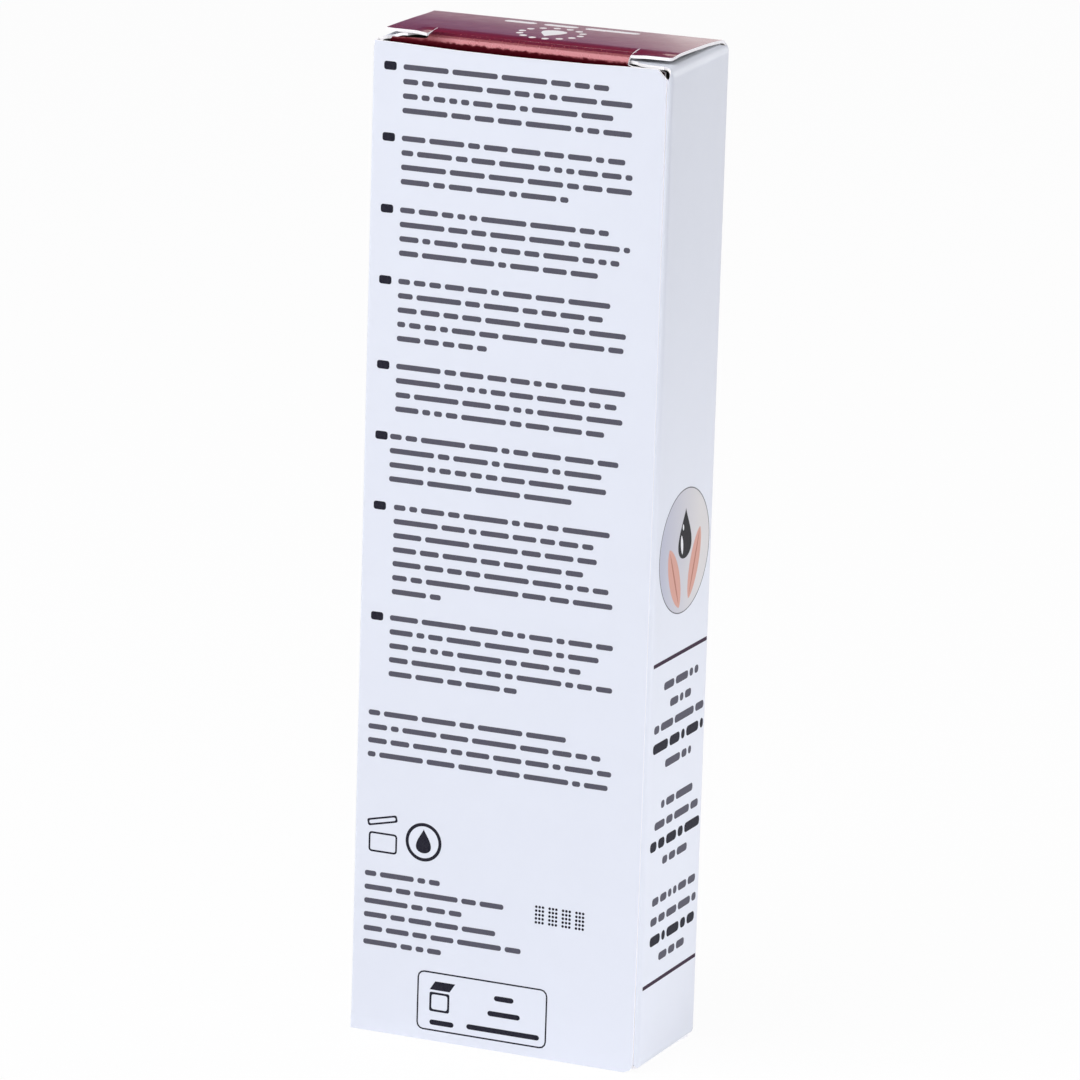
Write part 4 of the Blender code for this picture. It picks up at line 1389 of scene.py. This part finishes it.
class STAGE_OT_studio(bpy.types.Operator):
    """Set the floor, the lamps and the camera"""

    bl_idname = "stage.studio"
    bl_label = "Set the studio"

    def execute(self, context):
        studio = context.scene.studio_settings
        self.floor(studio)
        self.world(studio)
        self.card()
        for name, (place, target, size) in LAMPS.items():
            self.lamp(f"{name}_lamp", place, target, size, getattr(studio, name))
        camera = bpy.data.objects.new("camera", bpy.data.cameras.new("camera"))
        context.scene.collection.objects.link(camera)
        camera.location = CAMERA_PLACE
        camera.rotation_euler = Euler([math.radians(turn) for turn in CAMERA_TURNS])
        camera.data.sensor_width = SENSOR
        camera.data.lens = LENS
        camera.data.clip_start = 0.05
        context.scene.camera = camera
        context.scene.view_settings.view_transform = "Standard"
        return {"FINISHED"}

    def lamp(self, name, place, target, size, watts):
        data = bpy.data.lights.new(name, "AREA")
        data.shape = "SQUARE"
        data.size = size
        data.energy = watts
        item = bpy.data.objects.new(name, data)
        bpy.context.scene.collection.objects.link(item)
        item.location = place
        item.rotation_euler = (Vector(target) - Vector(place)).to_track_quat("-Z", "Y").to_euler()

    def direct(self, material, strength):
        """A strength for what the camera, mirrors and glass see, and 0 for other rays."""
        path = add_node(material, "LightPath").outputs
        seen = path["Is Camera Ray"]
        for ray in ("Is Glossy Ray", "Is Transmission Ray"):
            seen = add_node(material, "Math", {"operation": "MAXIMUM"}, {0: seen, 1: path[ray]}).outputs[0]
        return add_node(material, "Math", {"operation": "MULTIPLY", 1: strength}, {0: seen}).outputs[0]

    def floor(self, studio):
        """A matt white floor that stays white to the camera and keeps its shadow."""
        material, shader = principled("matt_white_floor", Roughness=0.8, Base_Color=studio.floor)
        white = add_node(material, "Emission", {"Color": (1, 1, 1, 1), "Strength": 1})
        sockets = {0: self.direct(material, 0.95), 1: shader.outputs[0], 2: white.outputs[0]}
        mix = add_node(material, "MixShader", links=sockets)
        link(material, mix.outputs[0], material.node_tree.nodes["Material Output"], "Surface")
        bm = bmesh.new()
        bmesh.ops.create_grid(bm, x_segments=8, y_segments=8, size=6)
        floor = finish_mesh("floor", bm, [material])
        floor.location.z = -0.02 * MM

    def card(self):
        """A card far behind, outside the picture, that the lid mirrors. Its colour is painted light and
        shade of the studio round the carton: pale low down and dark above, on a slant."""
        material, shader = principled("matt_printed_card", Roughness=0.9)
        place = add_node(material, "TexCoord").outputs["Object"]
        slant = add_node(
            material, "VectorMath", {"operation": "DOT_PRODUCT", 1: (-CARD_SLOPE, 0, 1)}, {0: place}
        )
        # Painted light and shade: pale, lilac and dark, from low down to high up
        shades = [(*linear(tone), 1) for tone in CARD_SHADES]
        steps = []
        for step in (0, 1):
            share = add_node(
                material,
                "MapRange",
                span(*CARD_LEVELS[step : step + 2]),
                {"Value": slant.outputs["Value"]},
            )
            values = {"data_type": "RGBA", 6: shades[step], 7: shades[step + 1]}
            steps.append(add_node(material, "Mix", values, {0: share.outputs["Result"]}))
        link(material, steps[0].outputs[2], steps[1], 6)
        link(material, steps[1].outputs[2], shader, "Base Color")
        bm = bmesh.new()
        (left, right), (low, high) = CARD_SIDES, CARD_HEIGHTS
        corners = ((left, low), (right, low), (right, high), (left, high))
        bm.faces.new([bm.verts.new((x, CARD_BEHIND, z)) for x, z in corners])
        finish_mesh("grey_card", bm, [material])

    def world(self, studio):
        """Even white light, at full strength where it is seen directly."""
        world = bpy.data.worlds.new("studio")
        bpy.context.scene.world = world
        world.use_nodes = True
        background = world.node_tree.nodes["Background"]
        background.inputs["Color"].default_value = (1, 1, 1, 1)
        seen = self.direct(world, 1)
        strength = add_node(world, "MapRange", {"To Min": studio.sky, "To Max": 1.0}, {"Value": seen})
        link(world, strength.outputs["Result"], background, "Strength")


class CARTON_PT_panel(bpy.types.Panel):
    """Lists the steps that make the carton and its stage"""

    bl_idname = "CARTON_PT_panel"
    bl_label = "Carton"
    bl_space_type = "VIEW_3D"
    bl_region_type = "UI"
    bl_category = "Carton"

    def draw(self, context):
        for operator in OPERATORS:
            self.layout.operator(operator.bl_idname)


SETTINGS = {
    "carton_board": CartonBoardSettings,
    "carton_colours": CartonColourSettings,
    "pen_settings": PenSettings,
    "studio_settings": StudioSettings,
}
OPERATORS = (
    CARTON_OT_sleeve,
    CARTON_OT_closures,
    CARTON_OT_dust_flaps,
    CARTON_OT_cradle,
    CARTON_OT_front_print,
    CARTON_OT_side_print,
    CARTON_OT_back_print,
    CARTON_OT_lid_print,
    PEN_OT_shells,
    PEN_OT_works,
    PEN_OT_brush,
    STAGE_OT_studio,
)


def register():
    for item in (*SETTINGS.values(), *OPERATORS, CARTON_PT_panel):
        bpy.utils.register_class(item)
    for name, group in SETTINGS.items():
        setattr(bpy.types.Scene, name, PointerProperty(type=group))


def unregister():
    for name in SETTINGS:
        delattr(bpy.types.Scene, name)
    for item in (CARTON_PT_panel, *OPERATORS[::-1], *SETTINGS.values()):
        bpy.utils.unregister_class(item)


def main():
    register()
    for operator in OPERATORS:
        family, name = operator.bl_idname.split(".")
        result = getattr(getattr(bpy.ops, family), name)()
        if result != {"FINISHED"}:
            raise RuntimeError(f"{operator.bl_idname} did not finish")


if __name__ == "__main__":
    main()
